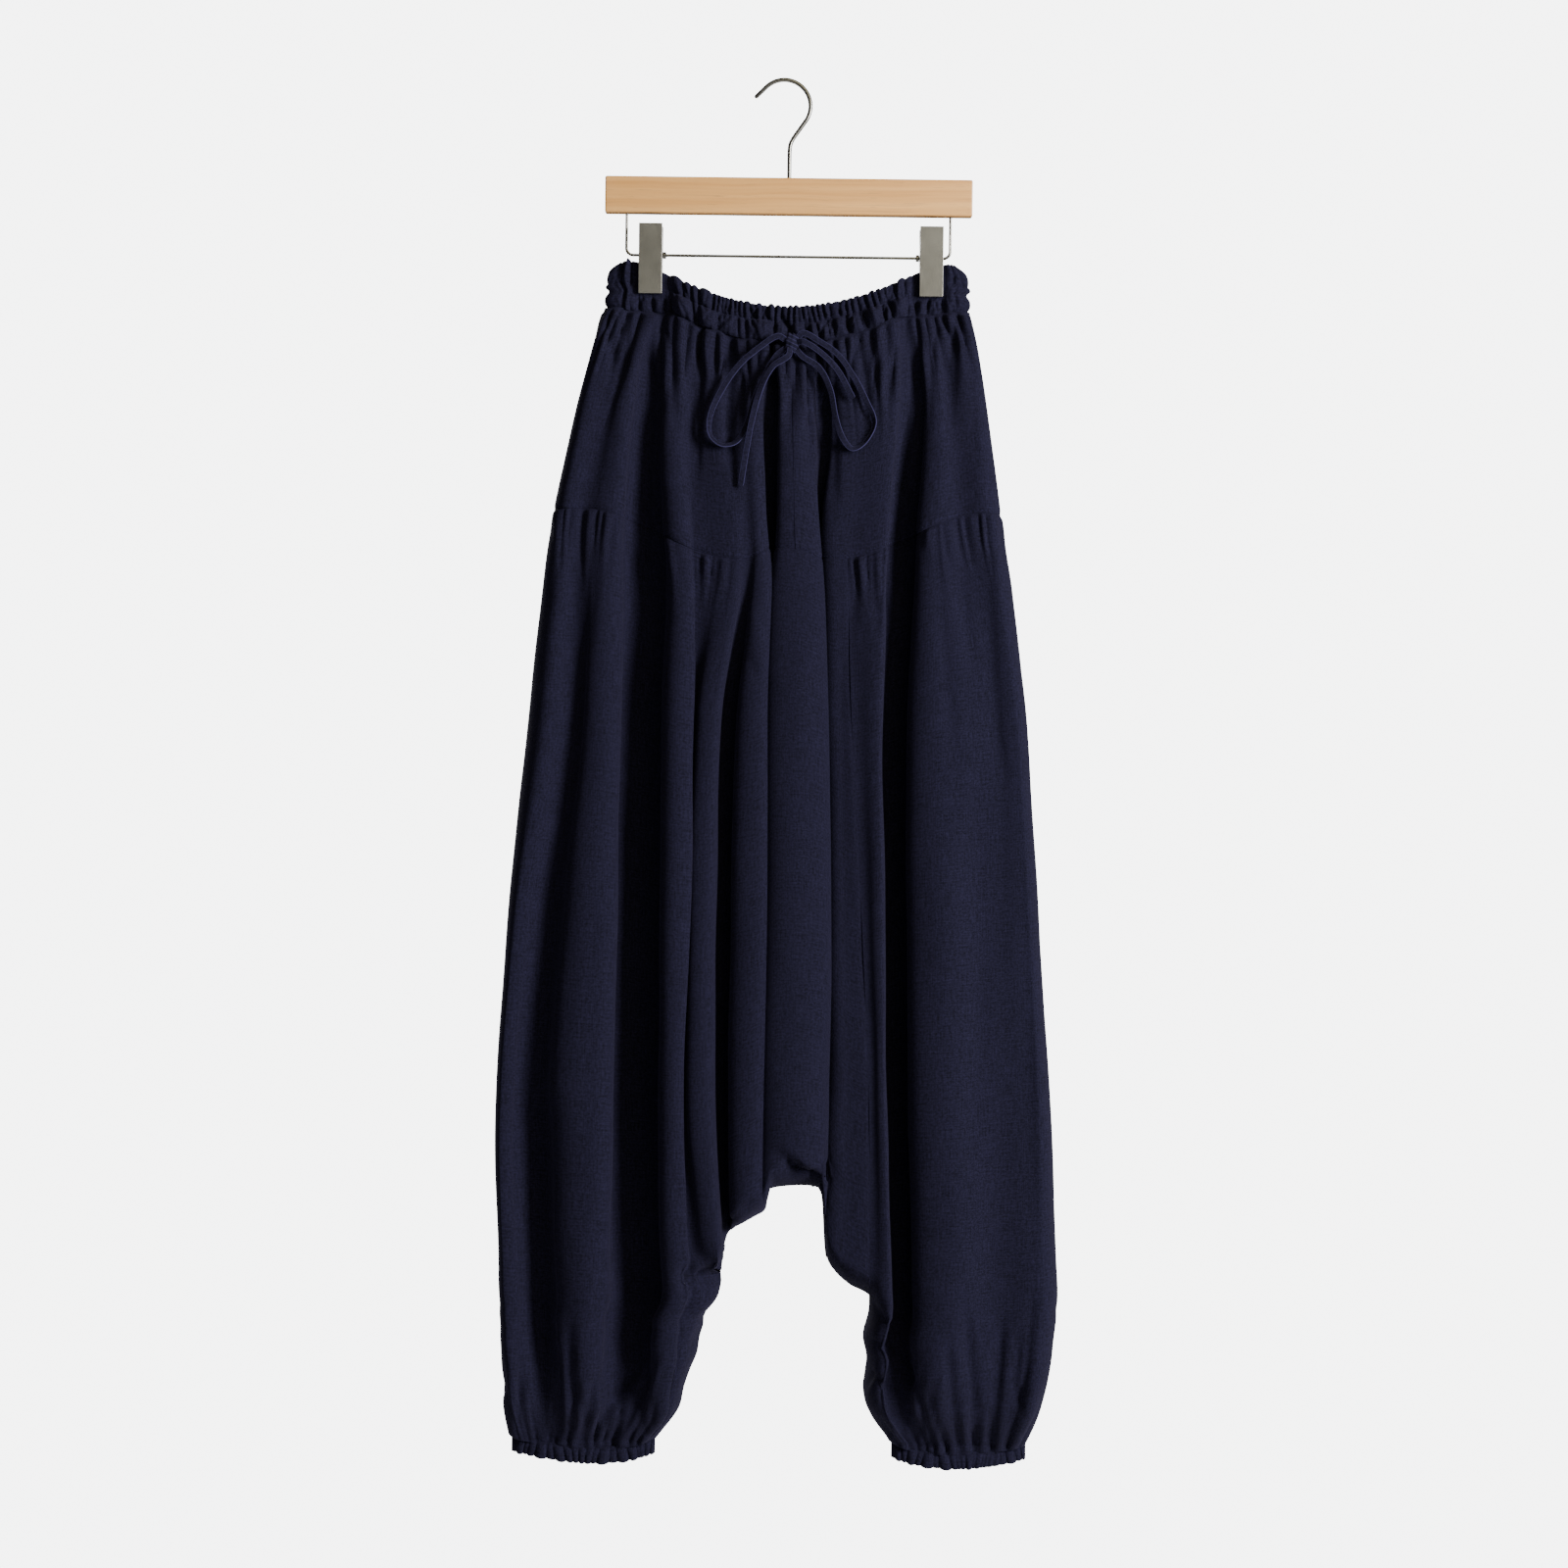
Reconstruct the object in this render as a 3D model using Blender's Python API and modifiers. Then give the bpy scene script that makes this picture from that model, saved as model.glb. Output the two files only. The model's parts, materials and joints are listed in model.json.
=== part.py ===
"""Harem trousers hung by two clips from a wooden trouser hanger.

Tables and sizes are in millimetres. x runs to the right, y runs to the back, and a drop is how far a point
lies below the inner crown of the hanger's hook, which is the origin. MM turns a finished point into metres.
"""

import functools
import math

import bmesh
import bpy
from mathutils import Vector

MM = 0.001
GARMENT_X = 5.0  # the bar's middle lies this far to the right of the hook's crown

# Cloth and sewing
CLOTH = 1.2
BAND_CLOTH = 1.6
SEAM_GAP = 0.3
FORK_GAP = 0.6  # the gusset lies this far above the legs where it turns under
CURL = 24.0  # height over which the crotch turns under to its seam
LEFT_FORK = 1043.0
RIGHT_FORK = 1063.0

# Waistband: two gathered casings, one above the other
BAND_TOP = 158.5
BAND_DIP = 40.0
BAND_REACH = 125.0  # the waist dips between the clips, this far to each side
BAND_TURN = 0.17  # how gently it turns level there
BAND_HEIGHT = 32.0
BAND_LONGER = 11.0  # how much deeper it is outside the clips, over these distances from the middle
BAND_LONGER_FROM = (95.0, 130.0)
BAND_HALF = 158.0
BAND_DEPTH = 14.0
BAND_ROWS = ((0.0, 0.1), (0.22, 1.0), (0.44, -0.5), (0.72, 1.2), (1.0, -0.4))  # share of height, puff
BAND_SWELL = 1.6
BAND_RUFFLE = 1.0
BAND_ENDS_DIP = 6.0  # how far the band's top drops at its very ends
UPPER_GATHER = 1.9
LOWER_PUFF = 2.3
GATHERS = {"front": 34, "back": 26}

# The seam between yoke and legs: a shallow V with a raised middle
YOKE_SIDE_DROP = 378.0
YOKE_V = 42.0
YOKE_V_REACH = (45.0, 175.0)
YOKE_MIDDLE_RISE = 8.0
YOKE_MIDDLE_REACH = (10.0, 34.0)
GARMENT_HALF = 220.0

# Gathers beside the seams: how far the cloth stands in and out, and how far from its seam it has faded
SEAM_GATHER_GROWS = 7.0
SEAM_GATHER_FULL = 12.0
YOKE_GATHER, LEG_GATHER, TOP_FADE = 1.8, 1.6, 45.0
ANKLE_GATHER, ANKLE_FADE = 1.4, 60.0

# Columns of points between two folds
PER_FOLD = {"front": 3, "back": 2}
GUSSET_PER_FOLD = 3

# Rows of points: distances from the upper end, from the lower end, and how many stand evenly between
YOKE_ROWS = ((0, 10), (0,), 3)
FORK_ROWS = ((0, 10, 40), (0, 1, 4, 11, 24), 5)
ANKLE_ROWS = ((0,), (0, 8, 28), 2)

# Ankle cuffs
CUFF_TOPS = {"left": 1191.5, "right": 1193.0}
CUFF_HEIGHT = 12.0
CUFF_SAG = 8.0
CUFF_LEAN = {"left": 0.4, "right": -0.2}  # a hem hangs lowest to this side of its middle
CUFF_DEPTH = 13.0
CUFF_ROWS = ((0.0, 0.0), (0.5, 0.8), (1.0, 0.0))  # share of height, swell
CUFF_GATHERS = 15
CUFF_GATHER = 1.0
CUFFS = {"left": (-230, -104), "right": (103, 221)}

# Hanger
BAR_LENGTH, BAR_DEPTH, BAR_HEIGHT = 322.0, 13.0, 32.0
BAR_TOP = 85.0
HOOK_WIRE = 1.9  # radius
HOOK_RADIUS = 23.0  # of the wire's centre line
HOOK_STEM = ((0, 60), (0.8, 54), (3.5, 49))  # x and drop, above the bar
HOOK_TURN = (-36, 132)  # degrees of the round crown
HOOK_TIP = (-24.5, 13)
FRAME_WIRE = 1.25
FRAME_HALF = 142.0
FRAME_STRAIGHT = 60.0
ROD_DROP = 153.5
CLIPS = {"clip_left": -120.5, "clip_right": 125.5}
CLIP_WIDTH, CLIP_TOP, CLIP_LENGTH, CLIP_STEEL = 20.5, 127.0, 61.0, 1.0
JAW_HALF = 4.6  # half of the space between a clip's jaws
PINCHED_DEPTH = 4.1  # of each layer of cloth between the jaws
PINCH_FADE = (2.0, 20.0)  # distances from a jaw between which the cloth opens out
PLAIN_FADE = (1.0, 12.0)  # and between which the band's gathers grow again
PINCH_DROPS = (190.0, 250.0)  # below the clips their grip fades out over these drops
SPRING_RADIUS, COLLAR_RADIUS, COLLAR_WIDTH = 4.2, 3.0, 3.0
FRAME_CORNER = 6.0

# The garment's sections: where its side and gusset seams run, and how deep its front and back folds reach
SECTION_COLUMNS = ("drop", "side_left", "seam_left", "seam_right", "side_right", "front", "back")
SECTIONS = (
    (190, -157, -57, 55, 157, 12, 10),
    (235, -171, -60, 58, 168, 19, 15),
    (310, -189, -56, 62, 180, 27, 20),
    (400, -206, -43, 55, 192, 35, 25),
    (450, -212, -44, 56, 201, 39, 28),
    (560, -223, -61, 60, 214, 46, 33),
    (720, -237, -67, 70, 226, 52, 37),
    (900, -247, -65, 79, 239, 56, 40),
    (1050, -243, -48, 81, 247, 56, 40),
    (1075, -241, -57, 82, 246, 55, 40),
    (1130, -238, -74, 80, 241, 50, 37),
    (1165, -235, -85, 84, 232, 37, 29),
    (1192, -230, -104, 103, 221, 15, 14),
)

# One row for each fold of a layer, from left to right, in the panel between two seams: its name, place as a
# share of that panel's width at each of PLACE_DROPS, and its depth as a share of the layer's at DEPTH_DROPS.
PLACE_DROPS = (235, 400, 560, 720, 900, 1050, 1192)
DEPTH_DROPS = (235, 400, 560, 1050, 1192)
FRONT_FOLDS = (
    ("left", "outer_roll", (0.09, 0.08, 0.12, 0.09, 0.07, 0.07, 0.09), (0.85, 0.85, 0.85, 0.85, 0.9)),
    ("left", "outer_dip", (0.26, 0.17, 0.27, 0.20, 0.15, 0.16, 0.20), (0.72, 0.74, 0.70, 0.58, 0.8)),
    ("left", "broad_roll", (0.36, 0.31, 0.41, 0.45, 0.45, 0.39, 0.44), (0.95, 0.95, 1.0, 1.0, 1.0)),
    ("left", "great_pleat", (0.48, 0.50, 0.59, 0.66, 0.68, 0.64, 0.72), (0.55, 0.30, 0.20, 0.22, 0.75)),
    ("left", "inner_roll", (0.66, 0.70, 0.82, 0.86, 0.86, 0.81, 0.90), (0.95, 0.92, 0.95, 0.92, 0.9)),
    ("left", "crease", (0.85, 0.78, 0.89, 0.93, 0.90, 0.88, 0.95), (0.60, 0.72, 0.55, 0.70, 0.7)),
    ("middle", "pocket_pleat", (0.12, 0.11, 0.12, 0.15, 0.14, 0.07, 0.07), (0.60, 0.80, 0.30, 0.25, 0.3)),
    ("middle", "left_roll", (0.26, 0.22, 0.33, 0.34, 0.30, 0.21, 0.21), (0.90, 0.90, 0.90, 0.90, 0.9)),
    ("middle", "left_pleat", (0.38, 0.33, 0.42, 0.43, 0.39, 0.32, 0.32), (0.55, 0.45, 0.30, 0.30, 0.3)),
    ("middle", "centre_roll", (0.53, 0.53, 0.60, 0.60, 0.57, 0.52, 0.52), (0.95, 0.95, 0.98, 1.0, 1.0)),
    ("middle", "right_pleat", (0.73, 0.76, 0.80, 0.78, 0.73, 0.67, 0.67), (0.60, 0.50, 0.25, 0.25, 0.3)),
    ("middle", "flap_edge", (0.86, 0.89, 0.91, 0.87, 0.84, 0.79, 0.79), (0.82, 0.72, 0.78, 0.82, 0.8)),
    ("middle", "flap_dip", (0.93, 0.95, 0.96, 0.94, 0.93, 0.90, 0.90), (0.76, 0.74, 0.80, 0.86, 0.9)),
    ("right", "flap_hollow", (0.17, 0.12, 0.07, 0.05, 0.04, 0.05, 0.05), (0.78, 0.80, 0.92, 0.90, 0.8)),
    ("right", "flap_roll", (0.31, 0.23, 0.15, 0.11, 0.08, 0.10, 0.10), (0.95, 0.98, 1.0, 0.95, 0.9)),
    ("right", "great_pleat", (0.49, 0.41, 0.28, 0.22, 0.19, 0.18, 0.17), (0.55, 0.28, 0.18, 0.20, 0.7)),
    ("right", "broad_roll", (0.62, 0.57, 0.49, 0.45, 0.42, 0.42, 0.36), (0.92, 0.95, 1.0, 1.0, 1.0)),
    ("right", "outer_dip", (0.74, 0.74, 0.81, 0.78, 0.73, 0.68, 0.76), (0.72, 0.80, 0.84, 0.78, 0.8)),
    ("right", "outer_roll", (0.87, 0.89, 0.92, 0.92, 0.91, 0.89, 0.90), (0.85, 0.88, 0.88, 0.85, 0.9)),
)
BACK_FOLDS = (
    ("left", "outer_roll", (0.12, 0.12, 0.12, 0.12, 0.12, 0.12, 0.14), (0.85, 0.85, 0.88, 0.88, 0.9)),
    ("left", "outer_dip", (0.28, 0.26, 0.27, 0.27, 0.28, 0.28, 0.32), (0.68, 0.60, 0.52, 0.50, 0.8)),
    ("left", "broad_roll", (0.44, 0.42, 0.44, 0.46, 0.47, 0.46, 0.52), (0.95, 0.95, 1.0, 1.0, 1.0)),
    ("left", "great_pleat", (0.62, 0.60, 0.63, 0.66, 0.68, 0.68, 0.72), (0.55, 0.40, 0.26, 0.28, 0.75)),
    ("left", "inner_roll", (0.80, 0.80, 0.83, 0.85, 0.86, 0.86, 0.88), (0.92, 0.92, 0.95, 0.92, 0.9)),
    ("middle", "left_pleat", (0.18, 0.16, 0.18, 0.18, 0.18, 0.14, 0.14), (0.60, 0.50, 0.35, 0.30, 0.3)),
    ("middle", "left_roll", (0.33, 0.32, 0.33, 0.33, 0.32, 0.26, 0.26), (0.90, 0.90, 0.92, 0.92, 0.9)),
    ("middle", "inner_pleat", (0.43, 0.43, 0.44, 0.43, 0.42, 0.36, 0.36), (0.60, 0.50, 0.36, 0.34, 0.3)),
    ("middle", "centre_roll", (0.53, 0.53, 0.56, 0.57, 0.57, 0.52, 0.52), (0.95, 0.95, 0.98, 1.0, 1.0)),
    ("middle", "right_pleat", (0.68, 0.70, 0.70, 0.71, 0.71, 0.67, 0.67), (0.60, 0.50, 0.34, 0.30, 0.3)),
    ("middle", "right_roll", (0.82, 0.84, 0.83, 0.84, 0.84, 0.81, 0.81), (0.90, 0.90, 0.92, 0.92, 0.9)),
    ("right", "inner_dip", (0.13, 0.12, 0.10, 0.10, 0.10, 0.10, 0.10), (0.74, 0.70, 0.66, 0.64, 0.7)),
    ("right", "inner_roll", (0.25, 0.24, 0.22, 0.20, 0.19, 0.19, 0.18), (0.92, 0.92, 0.95, 0.92, 0.9)),
    ("right", "great_pleat", (0.40, 0.39, 0.37, 0.35, 0.33, 0.33, 0.30), (0.55, 0.40, 0.26, 0.28, 0.7)),
    ("right", "broad_roll", (0.56, 0.57, 0.55, 0.54, 0.54, 0.55, 0.50), (0.95, 0.95, 1.0, 1.0, 1.0)),
    ("right", "outer_dip", (0.72, 0.74, 0.74, 0.73, 0.72, 0.72, 0.70), (0.68, 0.62, 0.55, 0.52, 0.8)),
    ("right", "outer_roll", (0.87, 0.88, 0.88, 0.88, 0.88, 0.88, 0.86), (0.85, 0.85, 0.88, 0.88, 0.9)),
)
# Where the wall to a fold's left and right stands, as a share of the way to the next fold, if not half way
HALF_WAY = (0.5, 0.5)
NEAR_WALLS = {
    ("front", "left", "great_pleat"): (0.5, 0.45),
    ("front", "left", "crease"): (0.22, 0.25),
    ("front", "middle", "pocket_pleat"): (0.5, 0.34),
    ("front", "middle", "left_pleat"): (0.3, 0.2),
    ("front", "middle", "right_pleat"): (0.2, 0.32),
    ("front", "right", "great_pleat"): (0.5, 0.28),
    ("back", "left", "great_pleat"): (0.35, 0.3),
    ("back", "middle", "left_pleat"): (0.4, 0.4),
    ("back", "middle", "inner_pleat"): (0.4, 0.4),
    ("back", "middle", "right_pleat"): (0.4, 0.4),
    ("back", "right", "great_pleat"): (0.35, 0.3),
}
LAYERS = {"front": FRONT_FOLDS, "back": BACK_FOLDS}
PANELS = {
    "left": ("side_left", "seam_left"),
    "middle": ("seam_left", "seam_right"),
    "right": ("seam_right", "side_right"),
}
FORKS = {"seam_left": LEFT_FORK, "seam_right": RIGHT_FORK}
TOWARDS = {"front": -1, "back": 1}
SEAM_SHARE = 0.86  # depth of the cloth at a gusset seam

# The crotch seam, from the left fork over the gap between the legs to the right fork: x and drop
ARCH = (
    (-48, LEFT_FORK),
    (-46, 1024),
    (-42, 1010),
    (-28, 1000),
    (-18, 993),
    (-13, 982),
    (-9, 973),
    (-4, 970),
    (14, 968),
    (38, 970),
    (42, 979),
    (45, 1003),
    (47, 1027),
    (52, 1040),
    (62, 1051),
    (82, RIGHT_FORK),
)


def smooth(low, high, value):
    """0 below low, 1 above high, and an even S between."""
    t = min(1.0, max(0.0, (value - low) / (high - low)))
    return t * t * (3 - 2 * t)


def through(places, values, at):
    """The value at a place on the smooth curve that passes through each of the values."""
    at = min(places[-1], max(places[0], at))
    k = next(i for i in range(len(places) - 1) if at <= places[i + 1])
    slopes = []
    for i in (k, k + 1):
        low, high = max(0, i - 1), min(len(places) - 1, i + 1)
        slopes.append((values[high] - values[low]) / (places[high] - places[low]))
    span = places[k + 1] - places[k]
    t = (at - places[k]) / span
    start = (2 * t**3 - 3 * t**2 + 1) * values[k] + (t**3 - 2 * t**2 + t) * span * slopes[0]
    end = (3 * t**2 - 2 * t**3) * values[k + 1] + (t**3 - t**2) * span * slopes[1]
    return start + end


@functools.lru_cache(maxsize=None)
def section_at(drop):
    """Each column of SECTIONS at that drop, by name."""
    drops = [row[0] for row in SECTIONS]
    columns = zip(*SECTIONS)
    return {name: through(drops, values, drop) for name, values in zip(SECTION_COLUMNS, columns)}


def turned_under(height):
    """How much of its depth the cloth keeps at a distance above the crotch seam."""
    t = min(1.0, max(0.0, height / CURL))
    return math.sqrt(1 - (1 - t) ** 2)


def near_clip(x, fade):
    """1 between a clip's jaws, fading to 0 over two distances from them."""
    return max(1 - smooth(*fade, abs(x - centre) - CLIP_WIDTH / 2) for centre in CLIPS.values())


def pinched(x, depth, held):
    """The depth that the clips leave near them. held is how much of their grip reaches this far down."""
    return depth - near_clip(x, PINCH_FADE) * held * max(0.0, depth - PINCHED_DEPTH)


def chain_of(layer):
    """A layer's folds from side to side, with the seams between them as their names."""
    folds = {panel: [row for row in LAYERS[layer] if row[0] == panel] for panel in PANELS}
    chain = ["side_left", *folds["left"], "seam_left", *folds["middle"], "seam_right", *folds["right"]]
    return chain + ["side_right"]


def fold_point(layer, k, drop):
    """x, depth and the two wall shares of the layer's fold or seam number k, at a drop."""
    section = section_at(drop)
    fold = CHAINS[layer][k]
    walls = HALF_WAY
    if fold in ("side_left", "side_right"):
        x, share = section[fold], 0.0
    elif fold in FORKS:
        x, share = section[fold], SEAM_SHARE * turned_under(FORKS[fold] - drop)
    else:
        panel, name, places, shares = fold
        walls = NEAR_WALLS.get((layer, panel, name), HALF_WAY)
        start, end = (section[seam] for seam in PANELS[panel])
        x = start + (end - start) * through(PLACE_DROPS, places, drop)
        share = through(DEPTH_DROPS, shares, drop)
    return x, pinched(x, section[layer] * share, 1 - smooth(*PINCH_DROPS, drop)), walls


def roll_and_hollow(a, b, share, round_a, round_b):
    """A point of the cloth between fold points a and b: a roll, then a wall, then a hollow.

    round_a and round_b say how far an end is the garment's own rounded edge, from 0 to 1.
    """
    (xa, ya, walls_a), (xb, yb, walls_b) = a, b
    wall = xb - walls_b[0] * (xb - xa) if yb < ya else xa + walls_a[1] * (xb - xa)
    steep = smooth(0.25, 1.1, abs(yb - ya) / max(1.0, abs(xb - xa)))
    turn = math.pi * share
    if share < 0.5:
        x_steep = xa + (wall - xa) * math.sin(turn)
    else:
        x_steep = wall + (xb - wall) * (1 - math.sin(turn))
    x = (1 - steep) * (xa + (xb - xa) * share) + steep * x_steep
    y = ya + (yb - ya) * (1 - math.cos(turn)) / 2
    slow, fast = 1 - math.cos(turn / 2), math.sin(turn / 2)
    x += round_a * (xa + (xb - xa) * slow - x)
    y += round_a * (ya + (yb - ya) * fast - y)
    x += round_b * (xa + (xb - xa) * fast - x)
    y += round_b * (ya + (yb - ya) * slow - y)
    return x, y


def cloth_point(layer, place, drop):
    """x and y of a layer's cloth at a place along its chain, which may lie between two folds."""
    chain = CHAINS[layer]
    k = min(int(place), len(chain) - 2)
    round_a = round_b = 0.0
    if chain[k] == "side_left":
        round_a = 1.0
    elif chain[k] == "seam_right":
        round_a = smooth(RIGHT_FORK - 34, RIGHT_FORK + 8, drop)
    if chain[k + 1] == "side_right":
        round_b = 1.0
    elif chain[k + 1] == "seam_left":
        round_b = smooth(LEFT_FORK - 34, LEFT_FORK + 8, drop)
    ends = fold_point(layer, k, drop), fold_point(layer, k + 1, drop)
    x, depth = roll_and_hollow(*ends, place - k, round_a, round_b)
    return x, TOWARDS[layer] * depth


def place_of(layer, name):
    """The place of a seam or a named fold of the middle panel along the layer's chain."""
    for k, fold in enumerate(CHAINS[layer]):
        if fold == name or tuple(fold[:2]) == ("middle", name):
            return k
    return None


def band_top(x):
    """Drop of the waist's edge, which hangs in a bow between the clips."""
    bow = 1 - (x / BAND_REACH) ** 2
    return BAND_TOP + BAND_DIP * (bow + math.hypot(bow, BAND_TURN)) / 2


def band_seam(x):
    """Drop of the seam between waistband and yoke."""
    return band_top(x) + BAND_HEIGHT + BAND_LONGER * smooth(*BAND_LONGER_FROM, abs(x))


def yoke_seam(x):
    """Drop of the seam between yoke and legs: a shallow V with a raised middle."""
    low = YOKE_V * smooth(*YOKE_V_REACH, GARMENT_HALF - abs(x))
    return YOKE_SIDE_DROP + low - YOKE_MIDDLE_RISE * (1 - smooth(*YOKE_MIDDLE_REACH, abs(x)))


def hem_seam(x):
    """Drop of the seam between leg and cuff, which hangs lowest near the middle of each ankle."""
    side = "left" if x < 0 else "right"
    low, high = CUFFS[side]
    t = (2 * x - low - high) / (high - low)
    return CUFF_TOPS[side] + CUFF_SAG * max(0.0, 1 - t * t) * (1 + CUFF_LEAN[side] * t)


def crotch_seam(x):
    """Drop of the seam between the legs' front and back, from fork to fork."""
    return through([point[0] for point in ARCH], [point[1] for point in ARCH], x)


def point_of(x, y, drop):
    return Vector(((x + GARMENT_X) * MM, y * MM, -drop * MM))


def collection_for(name):
    made = bpy.data.collections.new(name)
    bpy.context.scene.collection.children.link(made)
    return made


def material_for(name, colour, roughness, metallic=0.0):
    made = bpy.data.materials.new(name)
    made.use_nodes = True
    shader = made.node_tree.nodes["Principled BSDF"]
    shader.inputs["Base Color"].default_value = (*colour, 1.0)
    shader.inputs["Roughness"].default_value = roughness
    shader.inputs["Metallic"].default_value = metallic
    return made


def finished(name, mesh_or_curve, material, smooth_shaded=True):
    """An object of that name in the trousers' collection."""
    made = bpy.data.objects.new(name, mesh_or_curve)
    made.data.materials.append(material)
    trousers.objects.link(made)
    if smooth_shaded and made.type == "MESH":
        made.data.shade_smooth()
        made.data.set_sharp_from_angle(angle=math.radians(50))
    return made


def cloth_wall(name, walls, material):
    """A cloth piece from its grid: walls[row][column] is an outer point and the inner one behind it."""
    rows, columns = len(walls) - 1, len(walls[0]) - 1
    bm = bmesh.new()
    bmesh.ops.create_grid(bm, x_segments=columns, y_segments=rows, size=0.5)
    inner_of = {}
    for vertex in bm.verts:
        row, column = round((0.5 - vertex.co.y) * rows), round((vertex.co.x + 0.5) * columns)
        outer, inner = walls[row][column]
        vertex.co = outer
        inner_of[tuple(vertex.co)] = inner
    grown = bmesh.ops.extrude_face_region(bm, geom=list(bm.faces), use_keep_orig=True)
    for vertex in (item for item in grown["geom"] if isinstance(item, bmesh.types.BMVert)):
        vertex.co = inner_of[tuple(vertex.co)]
    bmesh.ops.recalc_face_normals(bm, faces=bm.faces)
    mesh = bpy.data.meshes.new(name)
    bm.to_mesh(mesh)
    bm.free()
    return finished(name, mesh, material)


def spaced(top, bottom, near_top, near_bottom, between):
    """The drops of a column's points: some at set distances from its ends, and the rest evenly between."""
    upper = [top + distance for distance in near_top]
    lower = [bottom - distance for distance in reversed(near_bottom)]
    step = (lower[0] - upper[-1]) / (between + 1)
    return upper + [upper[-1] + step * i for i in range(1, between + 1)] + lower


def drop_on(seam, layer, place, guess):
    """The drop at which a place along the chain meets a seam, whose drop depends on x."""
    drop = guess
    for _ in range(4):
        drop = seam(cloth_point(layer, place, drop)[0])
    return drop


def slope_across(point_at, place, last):
    """The unit direction in which a surface runs to the right at a place, from its points nearby."""
    step = 0.02
    low, high = point_at(max(0.0, place - step)), point_at(min(float(last), place + step))
    return (Vector(high) - Vector(low)).normalized()


def wall_at(point_at, place, layer, edge, down=Vector((0, 0, 1))):
    """The outer and inner point at a place. edge is 1 at a panel's left seam, -1 at its right, or 0."""
    across = slope_across(point_at, place, len(CHAINS[layer]) - 1)
    inward = across.cross(down).normalized() * TOWARDS[layer]
    outer = Vector(point_at(place)) + across * edge * SEAM_GAP / 2
    inner = outer + inward * CLOTH
    for point in (outer, inner):
        point.y = TOWARDS[layer] * max(SEAM_GAP / 2, TOWARDS[layer] * point.y)
    return outer, inner


def in_frame(walls):
    """The same grid of points in the object's own frame, in metres."""
    return [[(point_of(*outer), point_of(*inner)) for outer, inner in row] for row in walls]


def gathered(column, distance, size, reach):
    """A gather that alternates from column to column: none in its seam, most just beside it, fading away."""
    shown = smooth(0, SEAM_GATHER_GROWS, distance) * (1 - smooth(SEAM_GATHER_FULL, reach, distance))
    return (1 if column % 2 else -1) * size * shown


def panel(name, layer, ends, per_fold, rows_of, gathers, material):
    """A cloth panel between two places on the chain. rows_of gives the drops of a column's points."""
    first, last = ends
    chain_end = len(CHAINS[layer]) - 1
    columns = per_fold * (last - first)
    grid = []
    for column in range(columns + 1):
        place = first + (last - first) * column / columns
        edge = 1 if column == 0 and first > 0 else -1 if column == columns and last < chain_end else 0
        drops = rows_of(place)
        walls = []
        for drop in drops:
            fold = gathered(column, drop - drops[0], gathers[0], TOP_FADE)
            fold += gathered(column, drops[-1] - drop, gathers[1], ANKLE_FADE)

            def point_at(at):
                x, y = cloth_point(layer, at, drop)
                return x, y + TOWARDS[layer] * fold * smooth(0, 6, abs(y)) * (edge == 0), drop

            walls.append(wall_at(point_at, place, layer, edge))
        grid.append(walls)
    return cloth_wall(name, in_frame(zip(*grid)), material)


def yoke_rows(layer, place):
    top = drop_on(band_seam, layer, place, 210) + SEAM_GAP / 2
    bottom = drop_on(yoke_seam, layer, place, 400) - SEAM_GAP / 2
    return spaced(top, bottom, *YOKE_ROWS)


def fork_rows(top, bottom):
    """The rows that a leg and a gusset share along the seam between them, down to the fork."""
    return spaced(top, bottom, *FORK_ROWS)


def leg_rows(layer, place, fork):
    top = drop_on(yoke_seam, layer, place, 400) + SEAM_GAP / 2
    bottom = drop_on(hem_seam, layer, place, 1195) - SEAM_GAP / 2
    return fork_rows(top, fork) + spaced(fork, bottom, *ANKLE_ROWS)[1:]


def gusset(name, layer, per_fold, material):
    """The deep piece between the legs, from the yoke down to the crotch seam, where it turns under."""
    first, last = place_of(layer, "seam_left"), place_of(layer, "seam_right")
    columns = per_fold * (last - first)
    step = 0.6

    def turned_point(place, lift):
        """The surface at a height above the crotch seam."""
        drop = drop_on(crotch_seam, layer, place, 1000) - lift
        x, y = cloth_point(layer, place, drop)
        return x, y * turned_under(lift), drop

    def seam_point(place, drop):
        """The surface at a gusset seam, which the leg beside it shares."""
        return *cloth_point(layer, place, drop), drop

    grid = []
    for column in range(columns + 1):
        place = first + (last - first) * column / columns
        edge = 1 if column == 0 else -1 if column == columns else 0
        top = drop_on(yoke_seam, layer, place, 410) + SEAM_GAP
        low = drop_on(crotch_seam, layer, place, 1000)
        walls = []
        for drop in fork_rows(top, low):
            lift = low - drop
            if edge:
                raised = Vector((0, 0, -FORK_GAP * (1 - smooth(0, 12, lift))))
                outer, inner = wall_at(functools.partial(seam_point, drop=drop), place, layer, edge)
                walls.append((outer + raised, inner + raised))
                continue
            above, below = turned_point(place, lift + step), turned_point(place, max(0.0, lift - step))
            down = (Vector(below) - Vector(above)).normalized()
            walls.append(wall_at(functools.partial(turned_point, lift=lift), place, layer, edge, down))
        grid.append(walls)
    return cloth_wall(name, in_frame(zip(*grid)), material)


def round_ends(angle, half_length, depth):
    """A half-oval's point and its inward direction: angle runs from -90 to 90 degrees, left to right."""
    point = Vector((half_length * math.sin(angle), depth * math.cos(angle), 0))
    inward = Vector((-depth * math.sin(angle), -half_length * math.cos(angle), 0)).normalized()
    return point, inward


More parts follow.
